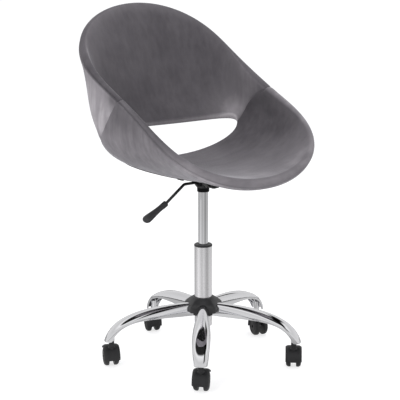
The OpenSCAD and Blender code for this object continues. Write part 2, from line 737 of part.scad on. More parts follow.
boss_r = 10;
boss_foot = 8;           // how far the boss runs down into the web below the stem
axle_wall = 4;           // wall of the web's eye round the axle
module caster_hood(k) {
    color([0.12, 0.12, 0.13]) at_caster(k) difference() {
        union() {
            hood_sector();
            difference() {
                union() {
                    translate([0, 0, stem_low - boss_foot])
                        cylinder(r = boss_r, h = boss_top - stem_low + boss_foot);
                    translate([0, 0, stem_low - boss_foot])
                        cylinder(r = neck_r, h = neck_top - stem_low + boss_foot);
                }
                wheel_space();
            }
            round_axle() cylinder(r = axle_d / 2 + axle_wall, h = 2 * web_half + web_gap, center = true);
        }
        round_axle() cylinder(r = axle_d / 2 + axle_gap, h = 4 * wheel_w, center = true);
        translate([0, 0, stem_low]) cylinder(r = stem_d / 2 + axle_gap, h = neck_top);
    }
}

module caster_stem(k) {
    top = socket_low + stem_grip;
    r = stem_d / 2;
    groove_low = top - 6;    // groove of the grip ring
    groove_w = 2;
    groove_depth = 1;
    point = 1.5;             // chamfer of the stem's upper end
    color("silver") at_caster(k) rotate_extrude() polygon([
        [0, stem_low + seat_gap], [r, stem_low + seat_gap], [r, groove_low],
        [r - groove_depth, groove_low], [r - groove_depth, groove_low + groove_w],
        [r, groove_low + groove_w], [r, top - point], [r - point, top], [0, top]]);
}

module axle(k) {
    color("silver") at_caster(k) round_axle()
        cylinder(d = axle_d, h = wheel_gap + 2 * axle_in, center = true);
}

// A wheel stands on its inner face: rounded shoulder, sunk ring and a low cap on the outer face
module wheel_shape() {
    tread_edge = 1.5;
    ring_r = wheel_r - wheel_round - 2;  // outer edge of the sunk ring
    ring_w = 3;
    ring_depth = 1;
    ring_slope = 0.8;
    cap_drop = 0.2;
    difference() {
        rotate_extrude($fn = 96) polygon(concat(
            [[0, 0], [wheel_r - tread_edge, 0], [wheel_r, tread_edge]],
            arc([wheel_r - wheel_round, wheel_w - wheel_round], wheel_round, 0, 90),
            [[ring_r, wheel_w], [ring_r - ring_slope, wheel_w - ring_depth],
             [ring_r - ring_w, wheel_w - ring_depth], [ring_r - ring_w - 1, wheel_w - cap_drop],
             [0, wheel_w]]));
        translate([0, 0, -1]) cylinder(r = axle_d / 2 + run_clear, h = axle_in + 1 + seat_gap);
    }
}

module wheel(k, side) {
    color([0.1, 0.1, 0.11]) at_caster(k) translate([side * wheel_gap / 2, caster_trail, wheel_r])
        rotate([0, side * 90, 0]) wheel_shape();
}

hub_core();
hub_cover();
outer_tube();
guide_bush();
thrust_bearing();
for (k = [1 : 5]) leg(k);
for (k = [1 : 5]) socket(k);
piston_rod();
retaining_clip();
gas_cylinder();
seat_plate();
plate_spacers();
plate_bolts();
threaded_inserts();
shell_core();
seat_pad();
back_pad();
seat_cover();
back_cover();
under_cover();
release_button();
lever_rod();
lever_grip();
pivot_pin();
for (k = [1 : 5]) caster_hood(k);
for (k = [1 : 5]) caster_stem(k);
for (k = [1 : 5]) axle(k);
for (k = [1 : 5]) wheel(k, -1);
for (k = [1 : 5]) wheel(k, 1);
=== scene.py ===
# %% [markdown]
# # A velvet swivel chair, dressed
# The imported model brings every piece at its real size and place. This script gives it its
# looks: velvet panels sewn round a moulded shell, polished legs and column, and black
# mouldings below. Each step says what the piece is on the real chair, how it could be made
# and why it is made this way. Everything is in metres, +Z up, with the floor at zero.
# %% Load the frame
import json
import math

import bmesh
import bpy
import numpy as np
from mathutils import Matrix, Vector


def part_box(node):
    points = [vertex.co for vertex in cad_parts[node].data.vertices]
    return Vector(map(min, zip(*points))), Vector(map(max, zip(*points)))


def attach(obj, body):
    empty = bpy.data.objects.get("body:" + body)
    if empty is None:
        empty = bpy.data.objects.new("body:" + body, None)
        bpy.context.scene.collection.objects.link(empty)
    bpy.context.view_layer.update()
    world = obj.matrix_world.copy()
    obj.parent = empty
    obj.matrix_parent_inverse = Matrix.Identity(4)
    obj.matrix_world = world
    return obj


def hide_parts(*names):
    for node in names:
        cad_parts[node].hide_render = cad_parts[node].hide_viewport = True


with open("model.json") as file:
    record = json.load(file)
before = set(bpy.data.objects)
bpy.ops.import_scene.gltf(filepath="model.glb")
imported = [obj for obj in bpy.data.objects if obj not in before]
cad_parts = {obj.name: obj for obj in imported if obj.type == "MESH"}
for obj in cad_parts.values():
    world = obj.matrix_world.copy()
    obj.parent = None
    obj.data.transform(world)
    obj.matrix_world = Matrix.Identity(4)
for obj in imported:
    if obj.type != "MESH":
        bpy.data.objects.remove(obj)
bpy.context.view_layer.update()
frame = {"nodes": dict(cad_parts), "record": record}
nodes = frame["nodes"]

# %% [markdown]
# ## Camera
# A product view from the front left, a little above the seat. A long lens keeps the legs
# from spreading towards the viewer. The camera stands on a circle round the column axis,
# so its place is an angle, a distance and a height.
# %% The camera
MM = 0.001
VIEW_TURN = math.radians(-38.0)
VIEW_DISTANCE = 3.0
VIEW_HEIGHT = 1.1135
VIEW_TILT = math.radians(12.27)

camera_data = bpy.data.cameras.new("camera")
camera_data.lens = 99.25
camera_data.sensor_width = 36.0
camera_data.shift_x = -0.008
camera = bpy.data.objects.new("camera", camera_data)
camera.location = (VIEW_DISTANCE * math.sin(VIEW_TURN), -VIEW_DISTANCE * math.cos(VIEW_TURN),
                   VIEW_HEIGHT)
camera.rotation_euler = (math.pi / 2 - VIEW_TILT, 0.0, VIEW_TURN)
bpy.context.scene.collection.objects.link(camera)
bpy.context.scene.camera = camera
bpy.context.scene.view_settings.view_transform = "Standard"
print("camera at", [round(c, 3) for c in camera.location])

# %% [markdown]
# ## Helpers for surfaces
# Every new piece is a grid of points worked out with numpy. A grid with walls is two such
# skins, an outer and an inner one, joined along their borders, so the piece is a closed
# solid with a real thickness.
# %% Grids, skins and lathes
def grid_quads(rows, cols, wrap_rows=False, wrap_cols=False):
    """Corners of every quad of a grid: point (i, j), then along the row, then up the rows."""
    i = np.arange(rows if wrap_rows else rows - 1)[:, None]
    j = np.arange(cols if wrap_cols else cols - 1)[None, :]
    up, along = (i + 1) % rows, (j + 1) % cols
    corners = i * cols + j, i * cols + along, up * cols + along, up * cols + j
    return np.stack(corners, -1).reshape(-1, 4)


def signed_volume(mesh):
    """Volume of a closed mesh, the sum of a.(b x c) / 6 over its triangles.

    It is negative if the faces look inwards."""
    mesh.calc_loop_triangles()
    corner = np.empty(3 * len(mesh.loop_triangles), np.int32)
    mesh.loop_triangles.foreach_get("vertices", corner)
    place = np.empty(3 * len(mesh.vertices), np.float32)
    mesh.vertices.foreach_get("co", place)
    a, b, c = place.reshape(-1, 3)[corner.reshape(-1, 3)].transpose(1, 0, 2).astype(float)
    return (np.cross(b, c) * a).sum() / 6


def new_mesh(name, points, faces, uv=None, values=None):
    """Mesh from points (n, 3) and faces, turned to look outwards.

    A UV per point and named point values are optional."""
    mesh = bpy.data.meshes.new(name)
    mesh.from_pydata(points.reshape(-1, 3).tolist(), [], [list(f) for f in faces])
    mesh.polygons.foreach_set("use_smooth", np.ones(len(mesh.polygons), bool))
    if uv is not None:
        corner = np.empty(len(mesh.loops), int)
        mesh.loops.foreach_get("vertex_index", corner)
        layer = mesh.uv_layers.new(name="UVMap")
        layer.data.foreach_set("uv", uv.reshape(-1, 2)[corner].ravel())
    for key, value in (values or {}).items():
        layer = mesh.attributes.new(key, "FLOAT", "POINT")
        layer.data.foreach_set("value", np.ascontiguousarray(value, np.float32).ravel())
    if signed_volume(mesh) < 0:
        mesh.flip_normals()
    mesh.update()
    return mesh


def add_piece(name, mesh, material, body, slot, stands_for):
    """Puts a mesh in the scene with its finish, on its body, for the CAD nodes it stands for."""
    piece = bpy.data.objects.new(name, mesh)
    bpy.context.scene.collection.objects.link(piece)
    mesh.materials.append(material)
    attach(piece, body)
    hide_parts(*stands_for)
    return piece


def make_piece(name, points, faces, *finish_and_place, **extra):
    """A new mesh put in the scene; the rest is (material, body, slot, stands_for); slot is not
    used.
    """
    return add_piece(name, new_mesh(name, points, faces, **extra), *finish_and_place)


def two_skins(outer, inner):
    """Points of an outer and an inner skin in one list, in the order skin_faces counts them."""
    return np.concatenate([outer.reshape(-1, 3), inner.reshape(-1, 3)])


def skin_faces(rows, cols, loop=False):
    """Quads of a closed sheet: outer grid, inner grid turned round, strips along the borders.

    The inner points follow the outer ones, so inner index = outer index + rows * cols."""
    outer = grid_quads(rows, cols, wrap_rows=loop)
    inner = outer[:, ::-1] + rows * cols
    edges = []
    index = np.arange(rows * cols).reshape(rows, cols)
    borders = [index[:, 0][::-1], index[:, -1]]
    if loop:
        borders = [np.append(borders[0], borders[0][0]), np.append(borders[1], borders[1][0])]
    else:
        borders += [index[0], index[-1][::-1]]
    for border in borders:
        a, b = border[:-1], border[1:]
        edges.append(np.stack([b, a, a + rows * cols, b + rows * cols], -1))
    return np.concatenate([outer, inner] + edges)


def full_turn(count):
    """Angles of a full circle in equal steps, without the last, which is the first again."""
    return np.linspace(0, 2 * np.pi, count, endpoint=False)


def bunched(count, amount):
    """Shares from 0 to 1 that stand closer together at both ends: x - amount sin(2 pi x) / 2 pi."""
    x = np.linspace(0, 1, count)
    return x - amount / (2 * np.pi) * np.sin(2 * np.pi * x)


def lathe(profile, steps):
    """Turns a closed profile of (radius, height) round the z axis: x = r cos a, y = r sin a."""
    angle = full_turn(steps)[:, None]
    radius, height = np.asarray(profile, float).T[:, None, :]
    points = np.stack([radius * np.cos(angle), radius * np.sin(angle), height + 0 * angle], -1)
    return points, grid_quads(steps, len(profile), wrap_rows=True, wrap_cols=True)[:, ::-1]


def cubic(a, b, c, d, t):
    """A cubic Bezier curve through a and d, drawn towards b and c."""
    a, b, c, d = (np.asarray(p, float) for p in (a, b, c, d))
    t = t[..., None] if a.ndim else t
    return (1 - t) ** 3 * a + 3 * (1 - t) ** 2 * t * b + 3 * (1 - t) * t * t * c + t ** 3 * d


def bell(x, centre, width):
    """1 at the centre, falling away on both sides: exp(-((x - centre) / width)^2)."""
    return np.exp(-((x - centre) / width) ** 2)


def smooth_step(x):
    """0 below 0, 1 above 1, with level ends: 3x^2 - 2x^3."""
    x = np.clip(x, 0, 1)
    return x * x * (3 - 2 * x)


print("surface helpers ready")

# %% [markdown]
# ## Velvet
# Velvet is a short dense pile on a woven back. Its colour changes with the way the pile
# lies: brushed one way it drinks the light, brushed the other way it shines. A value stored
# on each panel's points holds the pile's tone together with painted light and painted
# shade: pale patches and lines where the lamps and the floor light the velvet, and darker
# bands where it lies in shade. Brush marks are noise drawn out along the strokes: up and
# down on the back and the outside, from side to side on the seat. The pile itself is fine
# noise that lifts the surface. Sheen gives the pale rim that velvet has where it turns away.
# %% Node groups shared by the materials
def new_group(name, inputs, outputs):
    """An empty shader node group with inputs {name: default} and named float outputs.

    An input with Vector in its name is a vector, the others are floats."""
    group = bpy.data.node_groups.new(name, "ShaderNodeTree")
    for key, value in inputs.items():
        kind = "NodeSocketVector" if "Vector" in key else "NodeSocketFloat"
        socket = group.interface.new_socket(key, in_out="INPUT", socket_type=kind)
        if kind == "NodeSocketFloat":
            socket.default_value = value
    for key in outputs:
        group.interface.new_socket(key, in_out="OUTPUT", socket_type="NodeSocketFloat")
    return group, group.nodes.new("NodeGroupInput"), group.nodes.new("NodeGroupOutput")


def wire(tree, *pairs):
    """Links pairs of sockets, each (from socket, to socket)."""
    for source, target in pairs:
        tree.links.new(source, target)


def feed(tree, value, socket):
    """Gives a socket a number or colour, or links another socket to it."""
    if isinstance(value, (int, float, tuple)):
        socket.default_value = value
    else:
        tree.links.new(value, socket)


def add_math(tree, operation, *values):
    """A Math node whose inputs are sockets or plain numbers; returns its output."""
    node = tree.nodes.new("ShaderNodeMath")
    node.operation = operation
    for value, socket in zip(values, node.inputs):
        feed(tree, value, socket)
    return node.outputs[0]


def add_noise(tree, vector, scale, detail=2.0, roughness=0.5):
    """A Noise texture on a vector socket; scale may be a socket. Returns its factor."""
    node = tree.nodes.new("ShaderNodeTexNoise")
    node.inputs["Detail"].default_value = detail
    node.inputs["Roughness"].default_value = roughness
    feed(tree, vector, node.inputs["Vector"])
    feed(tree, scale, node.inputs["Scale"])
    return node.outputs["Fac"]


def make_brushed_pile():
    """Lie of the pile: noise drawn out along the brush strokes plus broad noise for hand marks.

    The height adds very fine noise, which is the pile itself."""
    group, given, result = new_group(
        "brushed_pile", {"Vector": 0, "Stroke Vector": 0, "Stroke": 1.0, "Mark": 1.0},
        ["Lie", "Height"])
    place = given.outputs["Vector"]
    stroke = add_noise(group, given.outputs["Stroke Vector"], 1.0, 3.0, 0.6)
    mark = add_noise(group, place, 13.0, 3.0, 0.55)
    pile = add_noise(group, place, 2600.0, 1.0)
    stroke, mark = (
        add_math(group, "MULTIPLY", add_math(group, "SUBTRACT", noise, 0.5), given.outputs[key])
        for noise, key in ((stroke, "Stroke"), (mark, "Mark")))
    lie = add_math(group, "ADD", stroke, mark)
    height = add_math(group, "MULTIPLY_ADD", lie, 0.6, pile)
    wire(group, (lie, result.inputs["Lie"]), (height, result.inputs["Height"]))
    return group


def make_fine_grain():
    """Moulding grain, as a fine noise, and handling marks: broad patches that change the gloss."""
    group, given, result = new_group(
        "fine_grain", {"Vector": 0, "Grain Scale": 900.0, "Patch Scale": 30.0}, ["Grain", "Patch"])
    place = given.outputs["Vector"]
    grain = add_noise(group, place, given.outputs["Grain Scale"])
    patch = add_noise(group, place, given.outputs["Patch Scale"], 4.0, 0.6)
    wire(group, (grain, result.inputs["Grain"]), (patch, result.inputs["Patch"]))
    return group


brushed_pile = make_brushed_pile()
fine_grain = make_fine_grain()
print("node groups:", [g.name for g in bpy.data.node_groups])

# %% Materials
def new_material(name, colour, roughness, metallic=0.0):
    """A Principled material with plain values on its own sockets.

    Returns it with its tree, its shader and its Object coordinates, which stay on the piece
    when it moves."""
    material = bpy.data.materials.new(name)
    material.use_nodes = True
    tree = material.node_tree
    shader = tree.nodes["Principled BSDF"]
    shader.inputs["Base Color"].default_value = (*colour, 1.0)
    shader.inputs["Roughness"].default_value = roughness
    shader.inputs["Metallic"].default_value = metallic
    material.diffuse_color = (*colour, 1.0)
    return material, tree, shader, tree.nodes.new("ShaderNodeTexCoord").outputs["Object"]


def stretched(tree, place, scale):
    """Coordinates scaled by their own amount along x, y and z."""
    node = tree.nodes.new("ShaderNodeMapping")
    node.inputs["Scale"].default_value = scale
    tree.links.new(place, node.inputs["Vector"])
    return node.outputs[0]


def add_group(tree, group, vector, **values):
    """Places a node group, feeds its vector and sets its own values."""
    node = tree.nodes.new("ShaderNodeGroup")
    node.node_tree = group
    tree.links.new(vector, node.inputs["Vector"])
    for key, value in values.items():
        node.inputs[key.replace("_", " ")].default_value = value
    return node


def add_ramp(tree, factor, stops):
    """A colour ramp through (place, grey or colour) stops; returns its colour."""
    node = tree.nodes.new("ShaderNodeValToRGB")
    ramp = node.color_ramp
    while len(ramp.elements) < len(stops):
        ramp.elements.new(0.5)
    for element, (place, colour) in zip(ramp.elements, stops):
        element.position = place
        element.color = (*(colour if isinstance(colour, tuple) else (colour,) * 3), 1.0)
    tree.links.new(factor, node.inputs["Fac"])
    return node.outputs["Color"]


def add_bump(tree, shader, height, strength, distance):
    """Height to the shader's normal."""
    node = tree.nodes.new("ShaderNodeBump")
    node.inputs["Strength"].default_value = strength
    node.inputs["Distance"].default_value = distance
    wire(tree, (height, node.inputs["Height"]), (node.outputs["Normal"], shader.inputs["Normal"]))


VELVET_DARK = (0.0625, 0.0575, 0.0645)
# The paler stops of this ramp are reached where light is painted into the stored tone.
VELVET_PILE_AND_LIGHT_TONES = [(0.0, VELVET_DARK), (0.4, (0.14, 0.131, 0.142)), (0.8, (0.31, 0.292, 0.31)),
                (1.0, (0.475, 0.45, 0.472))]


def make_velvet(name, stretch, stroke, mark):
    """Grey velvet: the stored pile tone with its painted light and shade, plus brush marks, picks a
    colour, dark to silver.

    stretch says how often the brush marks repeat per metre along x, y and z; stroke and mark
    say how strong the strokes and the hand marks are."""
    material, tree, shader, place = new_material(name, VELVET_DARK, 0.85)
    pile = add_group(tree, brushed_pile, place, Stroke=stroke, Mark=mark)
    wire(tree, (stretched(tree, place, stretch), pile.inputs["Stroke Vector"]))
    # The stored value is the pile's tone with painted light and painted shade in it.
    stored = tree.nodes.new("ShaderNodeAttribute")
    stored.attribute_name = "pile_tone_and_painted_light"
    tone = add_math(tree, "ADD", stored.outputs["Fac"], pile.outputs["Lie"])
    colour = add_ramp(tree, add_math(tree, "MULTIPLY", tone, 0.8), VELVET_PILE_AND_LIGHT_TONES)
    wire(tree, (colour, shader.inputs["Base Color"]))
    shader.inputs["Sheen Weight"].default_value = 0.35
    shader.inputs["Sheen Roughness"].default_value = 0.35
    shader.inputs["Sheen Tint"].default_value = (0.8, 0.8, 0.84, 1.0)
    shader.inputs["Specular IOR Level"].default_value = 0.15
    add_bump(tree, shader, pile.outputs["Height"], 0.25, 0.0004)
    return material


def make_moulded(name, colour, roughness, grain=900.0, depth=0.15):
    """Moulded plastic: fine grain in the height, patches of handling gloss in the roughness."""
    material, tree, shader, place = new_material(name, colour, roughness)
    group = add_group(tree, fine_grain, place, Grain_Scale=grain)
    gloss = add_math(tree, "MULTIPLY_ADD", group.outputs["Patch"], 0.2, roughness - 0.1)
    paler = tuple(c * 1.6 + 0.004 for c in colour)
    tone = add_ramp(tree, group.outputs["Patch"], [(0.3, colour), (0.75, paler)])
    wire(tree, (gloss, shader.inputs["Roughness"]), (tone, shader.inputs["Base Color"]))
    add_bump(tree, shader, group.outputs["Grain"], depth, 0.0003)
    return material


def make_metal(name, colour, roughness, smudge):
    """Metal: broad smudges change the roughness, and a very fine waviness breaks reflections."""
    material, tree, shader, place = new_material(name, colour, roughness, 1.0)
    group = add_group(tree, fine_grain, place, Grain_Scale=300.0, Patch_Scale=22.0)
    rough = add_math(tree, "MULTIPLY_ADD", group.outputs["Patch"], smudge, roughness - smudge / 2)
    wire(tree, (rough, shader.inputs["Roughness"]))
    add_bump(tree, shader, group.outputs["Grain"], 0.02, 0.0002)
    return material


def make_plywood():
    """Beech plywood: rings from noise squeezed across the grain, in two pale browns."""
    material, tree, shader, place = new_material("plywood", (0.55, 0.36, 0.2), 0.6)
    fibre = add_noise(tree, stretched(tree, place, (6.0, 60.0, 6.0)), 4.0, 5.0, 0.65)
    tone = add_ramp(tree, fibre, [(0.3, (0.42, 0.26, 0.13)), (0.7, (0.62, 0.43, 0.25))])
    wire(tree, (tone, shader.inputs["Base Color"]))
    add_bump(tree, shader, fibre, 0.2, 0.0003)
    return material


def make_dust_cloth():
    """Black non-woven cloth: pressed dots of a voronoi pattern over matted fibres."""
    material, tree, shader, place = new_material("dust_cloth", (0.012, 0.012, 0.013), 0.9)
    group = add_group(tree, fine_grain, place, Grain_Scale=1500.0)
    dots = tree.nodes.new("ShaderNodeTexVoronoi")
    dots.inputs["Scale"].default_value = 700.0
    tone = add_ramp(tree, group.outputs["Patch"], [(0.3, 0.008), (0.8, 0.022)])
    wire(tree, (place, dots.inputs["Vector"]), (tone, shader.inputs["Base Color"]))
    height = add_math(tree, "ADD", dots.outputs["Distance"], group.outputs["Grain"])
    add_bump(tree, shader, height, 0.4, 0.0004)
    return material


velvet_back = make_velvet("velvet_back", (70.0, 70.0, 7.0), 0.25, 0.3)
velvet_seat = make_velvet("velvet_seat", (9.0, 50.0, 35.0), 0.3, 0.5)
velvet_outside = make_velvet("velvet_outside", (60.0, 60.0, 6.0), 0.5, 0.5)
black_plastic = make_moulded("black_plastic", (0.018, 0.018, 0.019), 0.42)
caster_nylon = make_moulded("caster_nylon", (0.009, 0.009, 0.010), 0.5, 700.0, 0.25)
grip_plastic = make_moulded("grip_plastic", (0.026, 0.026, 0.028), 0.55, 1200.0, 0.3)
white_nylon = make_moulded("white_nylon", (0.75, 0.74, 0.7), 0.4)
black_steel = make_moulded("black_steel", (0.014, 0.014, 0.015), 0.35, 500.0, 0.1)
chrome = make_metal("chrome", (0.86, 0.86, 0.88), 0.07, 0.05)
satin_chrome = make_metal("satin_chrome", (0.97, 0.96, 0.98), 0.22, 0.06)
zinc_steel = make_metal("zinc_steel", (0.66, 0.67, 0.68), 0.32, 0.15)
plywood = make_plywood()
dust_cloth = make_dust_cloth()
finishes = {
    "velvet": velvet_back, "velvet_outer": velvet_outside, "black_plastic": black_plastic,
    "caster_nylon": caster_nylon, "white_nylon": white_nylon, "black_steel": black_steel,
    "chrome": chrome, "zinc_steel": zinc_steel, "plywood": plywood, "dust_cloth": dust_cloth}
for part in frame["record"]["subparts"]:
    nodes[part["node"]].data.materials.clear()
    nodes[part["node"]].data.materials.append(finishes[part["material_slot"]])
print("materials:", sorted(m.name for m in bpy.data.materials))

# %% [markdown]
# ## The shape of the shell
# The seat and back are one moulded ring. Two closed curves lead it: the rim outside and
# the window inside. Between them, at every angle round the ring, the section is a cubic
# curve that bows outwards. Both curves and the bow are short sums of cosines, so a few
# sizes give the whole surface, the same sizes as those of the moulded core underneath.
# %% Rim, window and section
SHELL_HALF = 13.0 * MM
PLATE_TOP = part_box("seat_plate")[1].z
SHELL_CLEAR = 3.5 * MM
# Widths in millimetres with how square the sides are, then values at the back, the sides and
# the front, in millimetres too.
RIM_X, RIM_Y, RIM_Z = (512, 40), (316, 26, -253), (451, 220, 22, 22)
WINDOW_X, WINDOW_Y, WINDOW_Z = (481, 14), (184, 127, 139), (135, 121, 26)
NEAR_BOW, FAR_BOW = (23, 36, 22), (-12, 9, 4)


def round_loop(s, back, side, front, swoop=0.0):
    """A value round the ring from cosines of s, 2s and 3s.

    s is 0 at the back, 90 and 270 degrees at the sides and 180 at the front."""
    mean = (back + front) / 2
    return ((mean + side) / 2 + (mean - side) / 2 * np.cos(2 * s)
            + ((back - front) / 2 - swoop) * np.cos(s) + swoop * np.cos(3 * s)) * MM


def ring_curve(s, across, deep, high):
    """A closed curve: x = (width / 2 + square) sin s + square sin 3s, y and z are round_loops."""
    width, square = across
    x = ((width / 2 + square) * np.sin(s) + square * np.sin(3 * s)) * MM
    return np.stack([x, round_loop(s, *deep), round_loop(s, *high)], -1)


def rim(s):
    """Centre line of the rim: wide and rounded in plan, high at the back and low at the front."""
    return ring_curve(s, RIM_X, RIM_Y, RIM_Z)


def window(s):
    """Centre line of the open window's edge, between the back and the seat."""
    return ring_curve(s, WINDOW_X, WINDOW_Y, WINDOW_Z)


def unit(v):
    """Vectors of length one."""
    return v / np.linalg.norm(v, axis=-1, keepdims=True)


def section(s, t):
    """Mid surface at angle s and share t from window to rim: point, direction along it, normal.

    The section is a cubic Bezier curve whose two middle points stand off the chord by the
    bows. The normal points outwards."""
    step = 0.001
    low, high = window(s), rim(s)
    run = rim(s + step) - rim(s - step) + window(s + step) - window(s - step)
    chord = -unit(np.cross(run, high - low))
    near = low + (high - low) / 3 + chord * round_loop(s, *NEAR_BOW)[..., None]
    far = low + (high - low) * 2 / 3 + chord * round_loop(s, *FAR_BOW)[..., None]
    point = cubic(low, near, far, high, t)
    t = t[..., None]
    slope = (3 * (1 - t) ** 2 * (near - low) + 6 * (1 - t) * t * (far - near)
             + 3 * t * t * (high - far))
    along = unit(slope)
    normal = unit(chord - (chord * along).sum(-1, keepdims=True) * along)
    return point, along, normal


seat_middle = np.full(9, np.pi)
middle_point, _, middle_normal = section(seat_middle, np.linspace(0, 1, 9))
shell_lift = PLATE_TOP + SHELL_CLEAR - (middle_point + SHELL_HALF * middle_normal)[:, 2].min()
print("shell stands", round(shell_lift, 4), "m above the origin of its curves")

# %% [markdown]
# ## The four velvet panels
# Two panels cover the sitting side, one on the back and one on the seat, and each runs
# over the rim to a seam on its far side. Two more cover the outside. They meet in seams at
# both sides of the chair. A panel is a grid over the ring: one way it runs round the
# chair, the other way round the section's edge. At every seam the padding sinks, because
# the thread pulls it down. Foam under velvet is taut, so it gets a shallow crown and faint
# hollows from sums of sines, and no loose folds.
# %% Panels
SEAM_ANGLE = np.pi / 2
SEAM_GAP = 0.0004
CREASE = math.radians(50)
PANEL_ROWS, FACE_STEPS, CAP_STEPS = 200, 46, 16
# By True for the sitting side and False for the outside.
CROWN = {True: 1.2 * MM, False: 0.3 * MM}
UNEVEN = {True: 1, False: 0.4}
UNDERSIDE = {True: 3.0 * MM, False: 7.0 * MM}
# How wide and how deep a seam, a crease and the puckers beside a seam are.
SEAM_PULL, CREASE_PULL, PUCKER = (0.003, 1.2 * MM), (0.0028, 2.4 * MM), (0.03, 0.35 * MM)
CROWN_RUN = 0.05
PUCKER_WAVE, PUCKER_DRIFT = 240, 31


def panel_ring(inner):
    """Points round the section's edge as (t, turn): face points, then those of both end caps.

    turn is the angle of the offset round an end, -90 degrees on the sitting side, +90 outside."""
    half = np.pi / 2
    face = np.linspace(0, 1, FACE_STEPS)
    if inner:
        bend = np.linspace(-half, CREASE, CAP_STEPS)
        ends = np.zeros(CAP_STEPS - 1), np.ones(CAP_STEPS - 1)
        t = np.concatenate([ends[0], face, ends[1]])
        turn = np.concatenate([bend[:0:-1], np.full(FACE_STEPS, -half), bend[1:]])
    else:
        bend = np.linspace(CREASE, half, CAP_STEPS // 2)
        ends = np.ones(len(bend) - 1), np.zeros(len(bend) - 1)
        t = np.concatenate([ends[0], face[::-1], ends[1]])
        turn = np.concatenate([bend[:-1], np.full(FACE_STEPS, half), bend[-2::-1]])
    return t, turn


def seam_shift(t, inner):
    """How far a side seam bows round the ring, in radians.

    It is -9 sin(pi t^0.65) degrees on the sitting side, and up to 9.5 degrees outside."""
    t = np.clip(t, 0, 1)
    bow = -9 * np.sin(np.pi * t ** 0.65) if inner else 9.5 * smooth_step((1 - t) / 0.95)
    return np.radians(bow)


def skin_at(s, t, turn, height):
    """Points of a skin: mid surface + height (sin(turn) normal + cos(turn) outwards along it)."""
    point, along, normal = section(s, t)
    way = np.where(t > 0.5, 1.0, -1.0)[..., None]
    offset = np.sin(turn)[..., None] * normal + np.cos(turn)[..., None] * way * along
    return point + np.asarray(height)[..., None] * offset + np.array([0, 0, shell_lift])


def walked(points, axis):
    """Length walked from the first point along one axis of a grid."""
    step = np.diff(points, axis=axis, prepend=np.take(points, [0], axis=axis))
    return np.cumsum(np.linalg.norm(step, axis=-1), axis=axis)


def dip(distance, width, depth):
    """How far a seam pulls the padding down: a bell curve of the distance from it."""
    return depth * np.exp(-(distance / width) ** 2)


def unevenness(u, v, seed):
    """Faint hollows of hand-laid foam, under a millimetre deep: six sines of random length."""
    chance = np.random.default_rng(seed)
    total = np.zeros_like(u)
    for _ in range(6):
        fu, fv, shift = chance.uniform(4, 26), chance.uniform(6, 30), chance.uniform(0, 6.28)
        total += np.sin(fu * u + fv * v * chance.choice([-1, 1]) + shift)
    return total * 0.12 * MM


def front_swell(s, t, turn):
    """The rounded front is padded 5 mm fuller where it turns under, and flatter further back."""
    front = np.abs(np.degrees(s) - 180)
    rolled = np.where(t > 0.5, smooth_step((np.degrees(turn) + 60) / 120), 0.0)
    rolled = rolled * smooth_step((t - 0.75) / 0.25)
    flatter = 1.5 * MM * bell(front, 33, 12) * bell(t, 0.42, 0.25) * (turn > 1.5)
    return 5 * MM * rolled * bell(front, 8, 26) - flatter


def make_panel(name, inner, middle, pile_tone_and_painted_light, cloth, stands_for):
    """One velvet panel, half of the ring wide, centred on the angle `middle`.

    The tone function (s, t, turn) gives the stored pile tone with painted light and shade,
    from 0, dark, to 1.25, silver."""
    t, turn = panel_ring(inner)
    cols = len(t)
    share, t = np.meshgrid(2 * bunched(PANEL_ROWS, 0.78) - 1, t, indexing="ij")
    s = middle + share * (SEAM_ANGLE - SEAM_GAP + seam_shift(t, inner) * math.cos(middle))
    turn = np.broadcast_to(turn, s.shape)
    flat = skin_at(s, t, turn, SHELL_HALF)
    u, v = walked(flat, 0), walked(flat, 1)
    to_side = np.minimum(u, u[-1:] - u)
    to_crease = np.minimum(v, v[:, -1:] - v)
    crown = CROWN[inner] * np.sin(np.pi * t) * (1 - np.exp(-to_side / CROWN_RUN))
    pull = dip(to_side, *SEAM_PULL) + dip(to_crease, *CREASE_PULL)
    wave = np.sin(v * PUCKER_WAVE + 2 * np.sin(v * PUCKER_DRIFT))
    pucker = dip(to_side, *PUCKER) * wave
    height = SHELL_HALF + crown + pucker + unevenness(u, v, len(name)) * UNEVEN[inner] - pull
    if middle:
        height = height + front_swell(s, t, turn)
    points = two_skins(skin_at(s, t, turn, height), skin_at(s, t, turn, UNDERSIDE[inner]))
    uv = np.stack([u - u.mean(), v], -1).reshape(-1, 2)
    # The stored tone carries painted light and painted shade along with the pile's own tone.
    piece = make_piece(
        name, points, skin_faces(PANEL_ROWS, cols), cloth, "seat",
        "velvet" if inner else "velvet_outer", stands_for, uv=np.concatenate([uv] * 2),
        values={"pile_tone_and_painted_light": np.concatenate([pile_tone_and_painted_light(s, t, turn).ravel()] * 2)})
    print(name, "triangles:", 2 * len(piece.data.polygons))


def round_end(here, turn):
    """How far a point lies over an end: 0 on the face, 1 on the very edge, more beyond it."""
    return np.where(here, np.degrees(turn) / 90 + 1, 0.0)


def off_back(s):
    """Degrees round the ring from the middle of the back, between -180 and 180."""
    return np.degrees(np.angle(np.exp(1j * s)))


def crease_shade(t, turn):
    """1 on an outside panel's edge at the rim, where shade is painted in, 0 on its face."""
    return np.where(t > 0.5, 1 - smooth_step((np.degrees(turn) - 50) / 34), 0.0)


